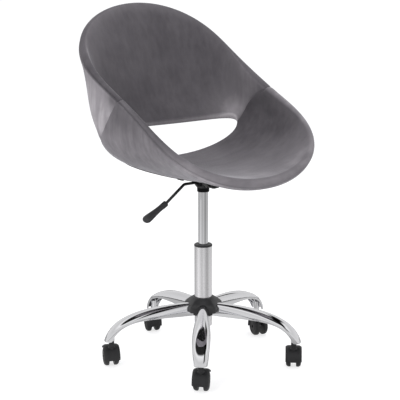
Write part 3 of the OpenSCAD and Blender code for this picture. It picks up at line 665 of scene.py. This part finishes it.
def pile_and_painted_light_back(s, t, turn):
    """Back, sitting side: dark, with painted light in pale patches beside both seams and under
    the rim.

    Each bell is a patch of painted light with its strength, its place and its width."""
    side = off_back(s)
    # Painted light: pale patches beside both seams.
    tone = 0.13 + 0.17 * bell(side, -22, 22) * t + 0.32 * bell(side, -48, 14)
    tone += 0.48 * bell(side, 76, 21) + 0.42 * bell(t, 0.0, 0.3) * bell(side, 56, 22)
    # Painted highlight: a pale line along the rim.
    tone += 0.2 * bell(t, 1.0, 0.05) * bell(side, 5, 38)
    over = round_end(t > 0.5, turn)
    # Painted shade: the end over the rim goes darker.
    tone += (0.05 - 0.7 * tone) * smooth_step((over - 0.1) / 0.4)
    near_rim = np.where(over > 0, bell(over, 0.1, 0.3), bell(t, 1.0, 0.05))
    # Painted light on the rim's crest beside the left seam.
    tone += 0.42 * bell(side, -72, 21) * near_rim
    # Painted light lifts the end under the window's edge, which faces down into shade.
    return tone + 0.8 * smooth_step(round_end(t < 0.5, turn) / 0.7)


def pile_and_painted_light_seat(s, t, turn):
    """Seat, sitting side: painted shade beside the far seam, painted light forwards and over the
    rounded front.
    """
    side = np.degrees(s)
    face = 0.08 + 0.1 * t + 0.16 * bell(t, 1.0, 0.15) + 0.06 * bell(t, 0.0, 0.05)
    face += 0.3 * smooth_step((side - 120) / 60)
    over = round_end(t > 0.5, turn)
    # Painted light over the rolled front, turning to painted shade towards the near seam.
    rolled = 0.36 + 0.33 * np.minimum(over, 1.3)
    near_seam = 0.02 + 0.25 * smooth_step((over - 0.6) / 0.7)
    rolled += (near_seam - rolled) * smooth_step((side - 208) / 40)
    return face + (rolled - face) * smooth_step(over / 0.3)


def pile_and_painted_light_back_outside(s, t, turn):
    """Back, outside: pale, the pile's own tone with painted light on it, most of all low down."""
    side = np.abs(off_back(s))
    # Painted light low down, painted shade at the rim beside the side seams.
    tone = 1.0 + 0.18 * bell(t, 0.35, 0.3) - 0.4 * bell(t, 1.0, 0.15) * bell(side, 90, 16)
    # Painted shade along the crease at the rim.
    return tone - 0.8 * crease_shade(t, turn)


def pile_and_painted_light_seat_outside(s, t, turn):
    """Seat, outside: the pile's tone with painted light underneath and towards the front, where
    the floor throws light up, and painted shade up the sides and along the crease at the rim.
    """
    front = np.abs(180 - np.degrees(s))
    low = np.clip(0.85 - t, 0, 1) * smooth_step((front - 40) / 35)
    edge = crease_shade(t, turn) * smooth_step((front - 20) / 30)
    # Painted light from the floor underneath and at the front; painted shade at the crease.
    return 0.42 + 0.7 * bell(front, 20, 38) + 0.6 * low - 0.35 * edge


make_panel("back_inside", True, 0.0, pile_and_painted_light_back, velvet_back, ("back_pad",))
make_panel("seat_inside", True, np.pi, pile_and_painted_light_seat, velvet_seat, ("seat_pad",))
make_panel("back_outside", False, 0.0, pile_and_painted_light_back_outside, velvet_outside, ("back_cover",))
make_panel("seat_outside", False, np.pi, pile_and_painted_light_seat_outside, velvet_outside, ("seat_cover",))

# %% [markdown]
# ## Dust cover
# A thin black cloth closes the underside of the seat. It follows the velvet, and its
# outline in plan is a row of half widths along y. It starts near the window's edge and
# spans the angle round the ring that the outline reaches there. It is stapled along its
# border, so between two staples it draws up into small folds that die out inwards.
# %% Dust cover
COVER_Y = np.array([-160, -122, 0, 76, 90]) * MM
COVER_HALF = np.array([80, 111, 138, 186, 189]) * MM
COVER_SPAN = math.radians(38)
COVER_START, COVER_LEAST = 0.07, 0.04
STAPLE_STEP = 32 * MM
CLOTH, CLOTH_LIFT, FOLD_HEIGHT, SLACK = 0.5 * MM, 0.3 * MM, 0.6 * MM, 0.1 * MM


def cover_limits(s):
    """For each s the largest t whose point lies inside the outline, rounded a little at corners."""
    tries = np.linspace(COVER_START, 0.98, 400)
    s, t = np.meshgrid(s, tries, indexing="ij")
    x, y, _ = np.moveaxis(skin_at(s, t, np.pi / 2, SHELL_HALF), -1, 0)
    inside = (np.abs(x) < np.interp(y, COVER_Y, COVER_HALF)) & (y > COVER_Y[0])
    count = np.cumprod(inside, axis=1).sum(1)
    padded = np.pad(tries[np.maximum(count - 1, 0)], 4, mode="edge")
    return np.convolve(padded, np.ones(9) / 9, mode="valid")


def make_dust_cover():
    """Cloth between the window's edge and the outline, just off the velvet."""
    rows, cols, under = 181, 61, np.pi / 2
    s = np.pi + np.linspace(-1, 1, rows) * COVER_SPAN
    depth = np.maximum(cover_limits(s), COVER_START + COVER_LEAST) - COVER_START
    share, s = np.meshgrid(np.linspace(0, 1, cols), s)
    t = COVER_START + share * depth[:, None]
    flat = skin_at(s, t, under, SHELL_HALF)
    along, inwards = walked(flat, 0), walked(flat, 1)
    edge = np.minimum(inwards, inwards[:, -1:] - inwards)
    fold = np.sin(np.pi * along / STAPLE_STEP) ** 2 * np.exp(-edge / (14 * MM))
    fold = fold * (1 - np.exp(-edge / (1.5 * MM)))
    slack = SLACK * (np.sin(along * 31 + 1) * np.sin(inwards * 43) + 1)
    slack = slack * (1 - np.exp(-edge / (10 * MM)))
    lift = SHELL_HALF + CLOTH_LIFT + FOLD_HEIGHT * fold + slack
    points = two_skins(skin_at(s, t, under, lift + CLOTH), skin_at(s, t, under, lift))
    piece = make_piece("dust_cover", points, skin_faces(rows, cols)[:, ::-1], dust_cloth, "seat",
                       "dust_cloth", ("under_cover",))
    print("dust cover triangles:", 2 * len(piece.data.polygons))


make_dust_cover()

# %% [markdown]
# ## Turned pieces of the gas lift
# The tube, the cylinder and the guide ring are turned or drawn parts, so each is a profile
# carried round the column axis. The CAD pieces are true too, but their meshes are coarse,
# and polished metal shows every facet. These have rounded edges, because a real edge is
# never sharp and its highlight is what makes a turned part look like metal.
# %% Tube, cylinder and guide ring
def rounded_profile(corners, radius, steps=5):
    """A closed profile of (r, z) corners with each corner rounded off by a quadratic curve.

    One more point stands on each side of a rounding, so that the shading of the straight
    runs stays straight."""
    corners = np.asarray(corners, float)
    before, after = np.roll(corners, 1, 0), np.roll(corners, -1, 0)
    reach_in = np.minimum(radius, np.linalg.norm(before - corners, axis=1) / 4.4)[:, None]
    reach_out = np.minimum(radius, np.linalg.norm(after - corners, axis=1) / 4.4)[:, None]
    start = corners + unit(before - corners) * reach_in
    end = corners + unit(after - corners) * reach_out
    t = np.linspace(0, 1, steps)[None, :, None]
    start, end, corners = start[:, None], end[:, None], corners[:, None]
    curve = (1 - t) ** 2 * start + 2 * t * (1 - t) * corners + t * t * end
    return np.concatenate([2 * start - corners, curve, 2 * end - corners], axis=1).reshape(-1, 2)


def turned_piece(name, corners, radius, *finish_and_place):
    """A piece turned round the column axis from the corners of its profile, in metres."""
    piece = make_piece(name, *lathe(rounded_profile(corners, radius), 128), *finish_and_place)
    print(name, "faces:", len(piece.data.polygons))


def node_radius(node):
    """Half the width of a CAD node that is round about the column axis."""
    low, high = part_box(node)
    return (high.x - low.x) / 2


tube_r = node_radius("outer_tube")
tube_low, tube_high = (corner.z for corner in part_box("outer_tube"))
cylinder_r = node_radius("gas_cylinder")
cylinder_low, cylinder_high = (corner.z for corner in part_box("gas_cylinder"))
ring_low, ring_high = tube_high + 0.3 * MM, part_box("guide_bush")[1].z
ring_r = node_radius("guide_bush")
rod_hole, valve_hole = 5.1 * MM, 4.1 * MM
tube_bore, cylinder_bore = tube_r - 1.5 * MM, cylinder_r - 2 * MM
bush_bore, bush_outside = cylinder_r + 0.1 * MM, tube_bore - 0.1 * MM
turned_piece("outer_tube_polished", [
    (tube_r, tube_high), (tube_r, tube_low + 69 * MM), (tube_r - 0.8 * MM, tube_low),
    (rod_hole, tube_low), (rod_hole, tube_low + 4 * MM), (tube_bore, tube_low + 4 * MM),
    (tube_bore, tube_high)], 0.5 * MM, satin_chrome, "base", "chrome", ("outer_tube",))
turned_piece("gas_cylinder_polished", [
    (cylinder_r, cylinder_high), (cylinder_r, cylinder_low), (rod_hole, cylinder_low),
    (rod_hole, cylinder_low + 20 * MM), (cylinder_bore, cylinder_low + 20 * MM),
    (cylinder_bore, cylinder_high - 60 * MM), (valve_hole, cylinder_high - 60 * MM),
    (valve_hole, cylinder_high)], 0.9 * MM, chrome, "seat", "chrome", ("gas_cylinder",))
turned_piece("guide_ring", [
    (ring_r, ring_low), (bush_outside, ring_low), (bush_outside, tube_high - 62 * MM),
    (bush_bore, tube_high - 62 * MM), (bush_bore, ring_high - 1.5 * MM),
    (cylinder_r + 2 * MM, ring_high), (ring_r - 2 * MM, ring_high), (ring_r, ring_high - 2 * MM)],
    1.2 * MM, black_plastic, "base", "black_plastic", ("guide_bush",))

# %% [markdown]
# ## Polished legs
# Each leg is pressed from sheet into an arch that is open below: narrow at the hub,
# broad where it comes over the shoulder, and narrow again at the caster. Its top line and
# its lower edge are two cubic curves, and the arch between them is a flattened half
# ellipse. A fine grid matters here more than anywhere, because reflections slide along it.
# %% Legs
STAR_TURN = math.radians(230.6)
LEG_COUNT = 5
SECTOR = 2 * np.pi / LEG_COUNT
LEG_START = node_radius("hub_core") + 0.3 * MM
LEG_REACH = 287.0 * MM
LEG_TOP_Z, LEG_LOW_Z, LEG_TIP_Z = 167.0 * MM, 132.0 * MM, 76.5 * MM
LEG_SHEET = 2.0 * MM
ARCH_POWER = 2.6


def leg_angle(k):
    """Direction of leg k, counted from 1."""
    return STAR_TURN + SECTOR * (k - 1)


def leg_half(u):
    """Half width of a leg at share u of its length."""
    return cubic(15 * MM, 25 * MM, 28.5 * MM, 18.5 * MM, u)


def leg_skin(u, k, inset):
    """Arch at share u of the leg's length and share k across it, `inset` inside the outer face."""
    top = cubic((LEG_START, LEG_TOP_Z), (LEG_REACH - 98 * MM, LEG_TOP_Z + 2 * MM),
                (LEG_REACH - 22 * MM, LEG_TOP_Z - 30 * MM), (LEG_REACH, LEG_TIP_Z), u)
    low = cubic((LEG_START, LEG_LOW_Z), (LEG_REACH - 128 * MM, LEG_LOW_Z),
                (LEG_REACH - 45 * MM, LEG_LOW_Z + 15 * MM), (LEG_REACH - 17 * MM, LEG_TIP_Z), u)
    rise = np.linalg.norm(top - low, axis=-1)
    up = (top - low) / rise[..., None]
    power, lean = 2 / ARCH_POWER, np.cos(np.pi * k)
    across = -np.sign(lean) * np.abs(lean) ** power * (leg_half(u) - inset)
    height = np.abs(np.sin(np.pi * k)) ** power * (rise - inset)
    line = low + up * height[..., None]
    return np.stack([line[..., 0], across, line[..., 1]], -1)


def turn_about_z(points, angle):
    """Points turned round the z axis."""
    c, s = math.cos(angle), math.sin(angle)
    x, y = points[..., 0], points[..., 1]
    return np.stack([c * x - s * y, s * x + c * y, points[..., 2]], -1)


def make_leg(k):
    """One leg: an outer and an inner skin, joined along the lower lips and the two ends."""
    rows, cols = 72, 57
    u, share = np.meshgrid(np.linspace(0, 1, rows), bunched(cols, 0.85), indexing="ij")
    points = two_skins(leg_skin(u, share, 0.0), leg_skin(u, share, LEG_SHEET))
    points = turn_about_z(points, leg_angle(k))
    return make_piece(f"leg_polished_{k}", points, skin_faces(rows, cols), chrome, "base", "chrome",
                      (f"leg_{k}",))


legs = [make_leg(k) for k in range(1, LEG_COUNT + 1)]
print("legs:", len(legs), "of", len(legs[0].data.polygons), "faces")

# %% [markdown]
# ## Hub cover
# A moulded dome hides the place where the legs meet the tube. It is a rounded pentagon
# below, with a flat towards each leg, and round above. Its wall is one surface: the radius
# is a function of direction and height. An arch is left open over each leg, so the lower
# edge is a function of direction too, worked out from the leg's own arch.
# %% The dome over the hub
HUB_FLAT = 47.0 * MM
HUB_BAND_LOW, HUB_BAND_TOP = LEG_LOW_Z + 13 * MM, LEG_TOP_Z - 3 * MM
HUB_CROWN = LEG_TOP_Z + 16 * MM
BAND_SOFT = 2.2 * MM
HUB_WALL = 3.0 * MM
LEG_SHADOW = 1.0 * MM


def off_leg(angle):
    """Angle from the direction of the nearest leg."""
    return np.mod(angle - STAR_TURN + SECTOR / 2, SECTOR) - SECTOR / 2


def hub_radius(angle, z):
    """Radius of the dome: a pentagon with soft corners in the band, a circle at the crown."""
    flat = HUB_FLAT / np.cos(off_leg(angle))
    corner = HUB_FLAT / math.cos(SECTOR / 2) - 1.9 * MM
    band = -BAND_SOFT * np.log(np.exp(-flat / BAND_SOFT) + np.exp(-corner / BAND_SOFT))
    crown = tube_r + 4 * MM
    share = (HUB_CROWN - z) / (HUB_CROWN - HUB_BAND_TOP)
    slope = crown + (band - crown) * np.clip(share, 0, 1) ** 0.86
    edge = 2.5 * MM * bell(z, HUB_BAND_TOP, 2.5 * MM)
    return np.where(share < 1, slope, band) - edge * 0.5


def hub_low_edge(angle):
    """Height of the lower edge: the band's, or over a leg its arch and a shadow gap."""
    share = (HUB_FLAT - LEG_START) / (3 * (LEG_REACH - 98 * MM - LEG_START))
    across = HUB_FLAT * np.tan(off_leg(angle)) / (leg_half(share) + LEG_SHADOW)
    rise = np.clip(1 - np.abs(across) ** ARCH_POWER, 0, None) ** (1 / ARCH_POWER)
    return np.maximum(HUB_BAND_LOW, LEG_LOW_Z + rise * (LEG_TOP_Z - LEG_LOW_Z + LEG_SHADOW))


def make_hub_cover():
    """Rings from the crown's inner lip, over the crown and down to the lower edge, with a wall."""
    count, lip = 720, 4
    angle = (full_turn(count) + STAR_TURN)[:, None]
    low = hub_low_edge(angle)
    skins = []
    for inset in (0.0, HUB_WALL):
        top = HUB_CROWN - inset
        z = top + (low - top) * np.linspace(0, 1, 40)
        radius = hub_radius(angle, z + inset) - inset
        lip_r = np.linspace(tube_r + 0.4 * MM, tube_r + 3.2 * MM - inset * 0.8, lip)
        lip_z = top + 0.8 * MM * np.linspace(0, 1, lip) ** 0.5 - 0.8 * MM
        radius = np.concatenate([np.broadcast_to(lip_r, (count, lip)), radius], axis=1)
        z = np.concatenate([np.broadcast_to(lip_z, (count, lip)), z], axis=1)
        skins.append(np.stack([radius * np.cos(angle), radius * np.sin(angle), z], -1))
    faces = skin_faces(*skins[0].shape[:2], loop=True)[:, ::-1]
    return make_piece("hub_cover_moulded", two_skins(*skins), faces, black_plastic, "base",
                      "black_plastic", ("hub_cover",))


print("hub cover faces:", len(make_hub_cover().data.polygons))

# %% [markdown]
# ## Lever
# The release lever is a bent steel rod with a moulded grip pushed over its end. Both are
# sections carried along the rod's line: level out of the plate, round the bend, and down
# to the side, where the grip lies a little flatter than the rod.
# %% Rod and grip
BEND_X, BEND_R, ROD_R = -66 * MM, 14 * MM, 4 * MM
LEVER_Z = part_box("lever_rod")[1].z - ROD_R - 0.1 * MM
LEVER_SLOPE = math.radians(36)
ROD_LENGTH, ROD_IN_GRIP, GRIP_TILT = 76 * MM, 34 * MM, math.radians(7)
GRIP_LENGTH, GRIP_WIDTH, GRIP_DEPTH = 84 * MM, 30 * MM, 19 * MM
FERRULE_END, FERRULE_R, GRIP_ROUND = 0.16, 8.5 * MM, 0.86


def close_tube(rows, cols):
    """Faces of a grid whose rows are rings, with a fan-free cap at each end."""
    faces = [list(f) for f in grid_quads(rows, cols, wrap_cols=True)]
    faces.append(list(range(cols))[::-1])
    faces.append(list(range((rows - 1) * cols, rows * cols)))
    return faces


def make_lever_rod():
    """A round section carried along a level run, an arc and a sloping run, in the plane y = 0."""
    run = BEND_R * math.tan(LEVER_SLOPE / 2)
    bend = np.linspace(0, LEVER_SLOPE, 12)
    corner = np.array([BEND_X + run, LEVER_Z - BEND_R])
    arc_line = corner + BEND_R * np.stack([-np.sin(bend), np.cos(bend)], -1)
    down = np.array([-math.cos(LEVER_SLOPE), -math.sin(LEVER_SLOPE)])
    end = arc_line[-1] + down * (ROD_LENGTH + ROD_IN_GRIP - run)
    start = np.array([2 * MM, LEVER_Z])
    line = np.concatenate([[start, start - [0.8 * MM, 0]], arc_line, [end - down * 0.8 * MM, end]])
    heading = np.concatenate([[0, 0], bend, [LEVER_SLOPE] * 2])
    radius = np.full(len(line), ROD_R)
    radius[[0, -1]] -= 0.7 * MM
    side = radius[:, None] * np.cos(full_turn(32))
    up = radius[:, None] * np.sin(full_turn(32))
    points = np.stack([line[:, :1] - np.sin(heading)[:, None] * up, side,
                       line[:, 1:] + np.cos(heading)[:, None] * up], -1)
    return make_piece("lever_rod_bent", points, close_tube(*points.shape[:2]), black_steel, "lever",
                      "black_steel", ("lever_rod",))


def grip_half(u, full):
    """Half size of the grip: a short round ferrule, a waist, then a swelling paddle."""
    paddle = np.clip((u - FERRULE_END) / (1 - FERRULE_END), 0, 1)
    body = cubic(FERRULE_R, 6.0 * MM, full / 2 + 2 * MM, full / 2, paddle)
    return np.where(u < FERRULE_END, FERRULE_R, body)


def make_lever_grip():
    """Rings of the grip, round at the ferrule and oval at the paddle, with rounded ends."""
    tip = 1 - GRIP_ROUND
    u = np.concatenate([[0, 0, 0.012], np.linspace(0.03, GRIP_ROUND, 40),
                        GRIP_ROUND + tip * np.sin(np.linspace(0.1, 1.52, 12))])
    round_off = np.sqrt(np.clip(1 - ((u - GRIP_ROUND) / tip) ** 2, 0.002, 1))
    round_off = np.where(u > GRIP_ROUND, round_off, 1.0)
    round_off[:3] = (0.5, 0.86, 0.97)
    turn = full_turn(40)
    wide = (grip_half(u, GRIP_WIDTH) * round_off)[:, None] * np.cos(turn)
    deep = (grip_half(u, GRIP_DEPTH) * round_off)[:, None] * np.sin(turn)
    far = u[:, None] * GRIP_LENGTH
    slope = LEVER_SLOPE - GRIP_TILT
    start_x = BEND_X - math.cos(LEVER_SLOPE) * ROD_LENGTH
    start_z = LEVER_Z - math.sin(LEVER_SLOPE) * ROD_LENGTH
    points = np.stack([start_x - math.cos(slope) * far + math.sin(slope) * deep, wide,
                       start_z - math.sin(slope) * far - math.cos(slope) * deep], -1)
    return make_piece("lever_grip_moulded", points, close_tube(*points.shape[:2]), grip_plastic,
                      "lever", "black_plastic", ("lever_grip",))


print("lever:", make_lever_rod().name, make_lever_grip().name)

# %% [markdown]
# ## Casters
# Twin-wheel casters: two nylon wheels on one axle under a hood that covers their tops and
# wraps their shoulders. A wheel is turned, so it is a profile with a rounded shoulder and a
# sunk ring. The hood is the same kind of profile carried only part of the way round, with
# its ends closed.
# %% Wheels
CASTER_PCR = LEG_REACH - 20.0 * MM
CASTER_TRAIL = 16.0 * MM
WHEEL_R, WHEEL_W, WHEEL_GAP, WHEEL_ROUND = 27.5 * MM, 13.5 * MM, 15.0 * MM, 8.0 * MM
WHEEL_BORE, WHEEL_STEPS = 4.1 * MM, 72
HOOD_LOOKS = [math.radians(a) for a in (224, 228, 75, 250, 246)]


def place_caster(points, k):
    """Points drawn with the stem on the z axis and the closed side towards -y, put at caster k."""
    turned = turn_about_z(points, HOOD_LOOKS[k - 1] + np.pi / 2)
    angle = leg_angle(k)
    return turned + np.array([CASTER_PCR * math.cos(angle), CASTER_PCR * math.sin(angle), 0])


def round_axle(radius, across, angle):
    """Points round the axle: across along x, the angle from straight down to the hood's front."""
    return np.stack(np.broadcast_arrays(across, CASTER_TRAIL - radius * np.sin(angle),
                                        WHEEL_R - radius * np.cos(angle)), -1)


def arc_of(centre, radius, start, stop, count):
    """Points on an arc in the (radius, across) plane of a caster."""
    a = np.linspace(start, stop, count)
    return np.stack([centre[0] + radius * np.cos(a), centre[1] + radius * np.sin(a)], -1)


def make_wheel(k, side):
    """A wheel from its profile (radius, distance outwards from its inner face)."""
    ring = WHEEL_R - WHEEL_ROUND - 2 * MM
    outer = arc_of((WHEEL_R - WHEEL_ROUND, WHEEL_W - WHEEL_ROUND), WHEEL_ROUND, 0, np.pi / 2, 9)
    face = rounded_profile([
        (ring, WHEEL_W), (ring - 0.8 * MM, WHEEL_W - 1 * MM), (ring - 3 * MM, WHEEL_W - 1 * MM),
        (ring - 4 * MM, WHEEL_W - 0.2 * MM), (WHEEL_BORE, WHEEL_W), (WHEEL_BORE, 0),
        (WHEEL_R - 0.9 * MM, 0)], 0.5 * MM, 3)
    profile = np.concatenate([outer, face, [[WHEEL_R, 1.2 * MM]]])
    radius, across = profile.T[:, None, :]
    points = round_axle(radius, side * (WHEEL_GAP / 2 + across), full_turn(WHEEL_STEPS)[:, None])
    faces = grid_quads(WHEEL_STEPS, len(profile), wrap_rows=True, wrap_cols=True)
    if side > 0:
        faces = faces[:, ::-1]
    letter = "l" if side < 0 else "r"
    return make_piece(f"wheel_tyre_{letter}_{k}", place_caster(points, k), faces, caster_nylon,
                      f"caster_{k}_wheel_{letter}", "caster_nylon", (f"wheel_{letter}_{k}",))


wheels = [make_wheel(k, side) for k in range(1, LEG_COUNT + 1) for side in (-1, 1)]
print("wheels:", len(wheels))

# %% [markdown]
# The hood is one moulding: a roof over both wheels that wraps their shoulders, a web between
# them, and a boss that holds the stem. The roof and web are one section carried round the
# axle, from low down at the closed side, over the top, to the open side behind. The boss is
# turned. A small bevel rounds the cut ends, as the mould does.
# %% Hoods
HOOD_GAP, HOOD_WALL, HOOD_LOW = 2.0 * MM, 2.8 * MM, 21.0 * MM
HOOD_R = WHEEL_R + HOOD_GAP + HOOD_WALL
HOOD_WRAP, HOOD_BACK = math.radians(50), math.radians(42)
CRISP = math.radians(35)
WEB_HALF = WHEEL_GAP / 2 - 1.0 * MM
STEM_R = 5.5 * MM
BOSS_TOP = WHEEL_R + math.sqrt(HOOD_R ** 2 - CASTER_TRAIL ** 2) + 2 * MM


def hood_section():
    """Closed section of roof and web as (radius, across): half of it, then its mirror image."""
    shoulder = (WHEEL_R - WHEEL_ROUND, WHEEL_GAP / 2 + WHEEL_W - WHEEL_ROUND)
    inner = WHEEL_ROUND + HOOD_GAP
    half = np.concatenate([[[2 * MM, WEB_HALF], [WHEEL_R + HOOD_GAP, WEB_HALF]],
                           arc_of(shoulder, inner, 0, HOOD_WRAP, 12),
                           arc_of(shoulder, inner + HOOD_WALL, HOOD_WRAP, 0, 14)])
    return np.concatenate([half, half[::-1] * (1, -1)])


def make_hood(k):
    """Roof and web swept round the axle, with flat ends, then the turned boss, as one object."""
    profile = hood_section()
    front = math.asin((WHEEL_R - HOOD_LOW) / HOOD_R)
    angle = np.linspace(math.pi / 2 - front, math.pi * 3 / 2 - HOOD_BACK, 40)[:, None]
    roof = round_axle(profile[None, :, 0], profile[None, :, 1], angle).reshape(-1, 3)
    bore, flange, neck = STEM_R + 0.1 * MM, 10 * MM, 7.6 * MM
    low, shelf, end = BOSS_TOP - 12 * MM, BOSS_TOP - 2.5 * MM, LEG_TIP_Z - 0.4 * MM
    boss, boss_faces = lathe(rounded_profile(
        [(bore, low), (6.4 * MM, low), (6.4 * MM, shelf), (flange, shelf), (flange, BOSS_TOP),
         (neck, BOSS_TOP + 1.5 * MM), (neck, end), (bore, end)], 0.8 * MM, 4), 48)
    faces = close_tube(len(angle), len(profile)) + (boss_faces[:, ::-1] + len(roof)).tolist()
    piece = make_piece(
        f"caster_hood_moulded_{k}", place_caster(two_skins(roof, boss), k), faces, caster_nylon,
        f"caster_{k}", "caster_nylon", (f"caster_hood_{k}",))
    soften_edges(piece, 0.5 * MM)
    return piece


def soften_edges(piece, width):
    """Keeps sharp edges crisp in shading, and rounds them with a narrow two-step bevel."""
    piece.data.set_sharp_from_angle(angle=CRISP)
    bevel = piece.modifiers.new("soft_edges", "BEVEL")
    bevel.width = width
    bevel.segments = 2
    bevel.limit_method = "ANGLE"
    bevel.angle_limit = CRISP


hoods = [make_hood(k) for k in range(1, LEG_COUNT + 1)]
print("hoods:", len(hoods), "of", len(hoods[0].data.polygons), "faces")

# %% [markdown]
# ## Pressed and turned steel under the seat
# The seat plate, the stem sockets, the stems and the axles keep the form that the packed
# model gives them. A merged copy of the seat plate and of each socket gets rounded edges,
# because pressed and turned steel never has a knife edge, and the thin highlight along it is
# what the eye reads as metal.
# %% Softened copies
def softened_copy(node, material, body, slot, width):
    """A copy of a CAD mesh with its doubles merged and its flat areas joined, then bevelled."""
    work = bmesh.new()
    work.from_mesh(nodes[node].data)
    bmesh.ops.remove_doubles(work, verts=work.verts, dist=0.000002)
    bmesh.ops.dissolve_limit(work, angle_limit=math.radians(1), verts=work.verts, edges=work.edges)
    mesh = bpy.data.meshes.new(node + "_finished")
    work.to_mesh(mesh)
    work.free()
    mesh.materials.clear()
    mesh.polygons.foreach_set("use_smooth", np.ones(len(mesh.polygons), bool))
    soften_edges(add_piece(mesh.name, mesh, material, body, slot, (node,)), width)


softened_copy("seat_plate", black_steel, "seat", "black_steel", 0.6 * MM)
for k in range(1, LEG_COUNT + 1):
    softened_copy(f"socket_{k}", chrome, "base", "chrome", 0.4 * MM)
print("softened copies made")

# %% [markdown]
# ## Studio
# A pale floor that runs far behind the chair, a world that gives even light from all
# round, and three soft lamps. The world looks white to the camera. For reflections it is
# a light tent with dark gaps, because polished metal shows what stands round it: without
# dark strips chrome looks like grey plastic.
# %% Floor, world and lamps
# What polished metal sees. The floor's brightness goes by distance from the column in shares
# of 4 m, and by direction in shares of a turn, from the back round by +X to the front at a
# half. The tent goes by height, from the horizon at 0 to a dark ceiling at 1. One dark screen
# stands above SCREEN_HEIGHT, where SCREEN_SIDE runs from the view's left at 0 to its right at 1.
FLOOR_REACH = [(0.0, 1.0), (0.25, 1.0), (0.45, 0.8), (0.66, 0.75), (0.85, 0.04)]
FLOOR_TURN = [(0.0, 0.42), (0.2, 0.62), (0.38, 0.6), (0.46, 0.34), (0.53, 0.5), (0.59, 0.72),
              (0.65, 0.52), (0.78, 0.85), (0.9, 0.5), (1.0, 0.42)]
TENT_HEIGHT = [(0.0, 0.75), (0.3, 0.72), (0.55, 0.66), (0.8, 0.95), (0.86, 0.02)]
SCREEN_SIDE = [(0.62, 0.0), (0.66, 1.0), (0.73, 1.0), (0.77, 0.0)]
SCREEN_HEIGHT = [(0.46, 0.0), (0.52, 1.0)]
FLOOR_R, FLOOR_SIDES, FLOOR_SHARE = 60, 64, 4.0


def make_floor():
    """A flat disc far larger than the view."""
    angle = full_turn(FLOOR_SIDES)
    points = np.stack([FLOOR_R * np.cos(angle), FLOOR_R * np.sin(angle), 0 * angle], -1)
    mesh = new_mesh("floor", points, [list(range(FLOOR_SIDES))])
    floor = bpy.data.objects.new("floor", mesh)
    bpy.context.scene.collection.objects.link(floor)
    material, tree, shader, place = new_material("floor", (0.45, 0.45, 0.46), 0.9)
    shader.inputs["Specular IOR Level"].default_value = 0.0
    shader.inputs["Emission Color"].default_value = (1, 1, 1, 1)
    light = tree.nodes.new("ShaderNodeLightPath")
    wire(tree, (add_math(tree, "MULTIPLY", light.outputs["Is Camera Ray"], 0.7),
                shader.inputs["Emission Strength"]))
    split = tree.nodes.new("ShaderNodeSeparateXYZ")
    wire(tree, (place, split.inputs[0]))
    x, y = split.outputs["X"], split.outputs["Y"]
    far = add_math(tree, "SQRT", add_math(tree, "ADD", add_math(tree, "MULTIPLY", x, x),
                                          add_math(tree, "MULTIPLY", y, y)))
    reach = add_ramp(tree, add_math(tree, "DIVIDE", far, FLOOR_SHARE), FLOOR_REACH)
    round_way = add_math(tree, "DIVIDE", add_math(tree, "ARCTAN2", x, y), 2 * math.pi)
    turn = add_ramp(tree, add_math(tree, "FRACT", round_way), FLOOR_TURN)
    seen = tree.nodes.new("ShaderNodeEmission")
    wire(tree, (reach, seen.inputs["Color"]), (turn, seen.inputs["Strength"]))
    mixed = tree.nodes.new("ShaderNodeMixShader")
    output = tree.nodes["Material Output"]
    wire(tree, (light.outputs["Is Glossy Ray"], mixed.inputs[0]),
         (shader.outputs[0], mixed.inputs[1]), (seen.outputs[0], mixed.inputs[2]),
         (mixed.outputs[0], output.inputs["Surface"]))
    mesh.materials.append(material)


def add_mix(tree, factor, a, b):
    """A mix of two colours, each a socket or a plain colour; returns its result."""
    node = tree.nodes.new("ShaderNodeMix")
    node.data_type = "RGBA"
    for key, value in (("Factor", factor), ("A", a), ("B", b)):
        feed(tree, value, node.inputs[key])
    return node.outputs["Result"]


def make_world():
    """Even grey light, white to the camera, and for reflections a tent with dark strips."""
    world = bpy.data.worlds.new("studio")
    bpy.context.scene.world = world
    world.use_nodes = True
    tree = world.node_tree
    shader = tree.nodes["Background"]
    light = tree.nodes.new("ShaderNodeLightPath")
    coordinates = tree.nodes.new("ShaderNodeTexCoord")
    split = tree.nodes.new("ShaderNodeSeparateXYZ")
    wire(tree, (coordinates.outputs["Generated"], split.inputs[0]))
    side = add_math(tree, "MULTIPLY_ADD", split.outputs["X"], math.cos(VIEW_TURN) / 2, 0.5)
    side = add_math(tree, "MULTIPLY_ADD", split.outputs["Y"], math.sin(VIEW_TURN) / 2, side)
    screen = add_math(tree, "MULTIPLY", add_ramp(tree, side, SCREEN_SIDE),
                      add_ramp(tree, split.outputs["Z"], SCREEN_HEIGHT))
    tent = add_math(tree, "MULTIPLY", add_ramp(tree, split.outputs["Z"], TENT_HEIGHT),
                    add_math(tree, "SUBTRACT", 1.0, screen))
    lit = add_mix(tree, light.outputs["Is Glossy Ray"], (0.75, 0.75, 0.76, 1), tent)
    straight = add_math(tree, "MAXIMUM", light.outputs["Is Camera Ray"],
                        light.outputs["Is Transmission Ray"])
    wire(tree, (add_mix(tree, straight, lit, (1, 1, 1, 1)), shader.inputs["Color"]))


def add_lamp(name, place, target, size, watts):
    """A square soft lamp at a place, turned towards a target."""
    lamp = bpy.data.lights.new(name, "AREA")
    lamp.size = size
    lamp.energy = watts
    holder = bpy.data.objects.new(name, lamp)
    holder.location = place
    aim = np.array(target, float) - np.array(place, float)
    tilt = math.acos(-aim[2] / np.linalg.norm(aim))
    holder.rotation_euler = (tilt, 0, math.atan2(aim[1], aim[0]) - math.pi / 2)
    holder.visible_glossy = False
    bpy.context.scene.collection.objects.link(holder)


make_floor()
make_world()
add_lamp("key_left", (-3.2, -1.0, 2.0), (0, 0, 0.6), 1.6, 55)
add_lamp("top", (0.4, 0.6, 3.4), (0, 0, 0.6), 2.2, 40)
add_lamp("front_fill", (0.8, -3.4, 1.4), (0, 0, 0.5), 1.8, 25)
print("studio ready")
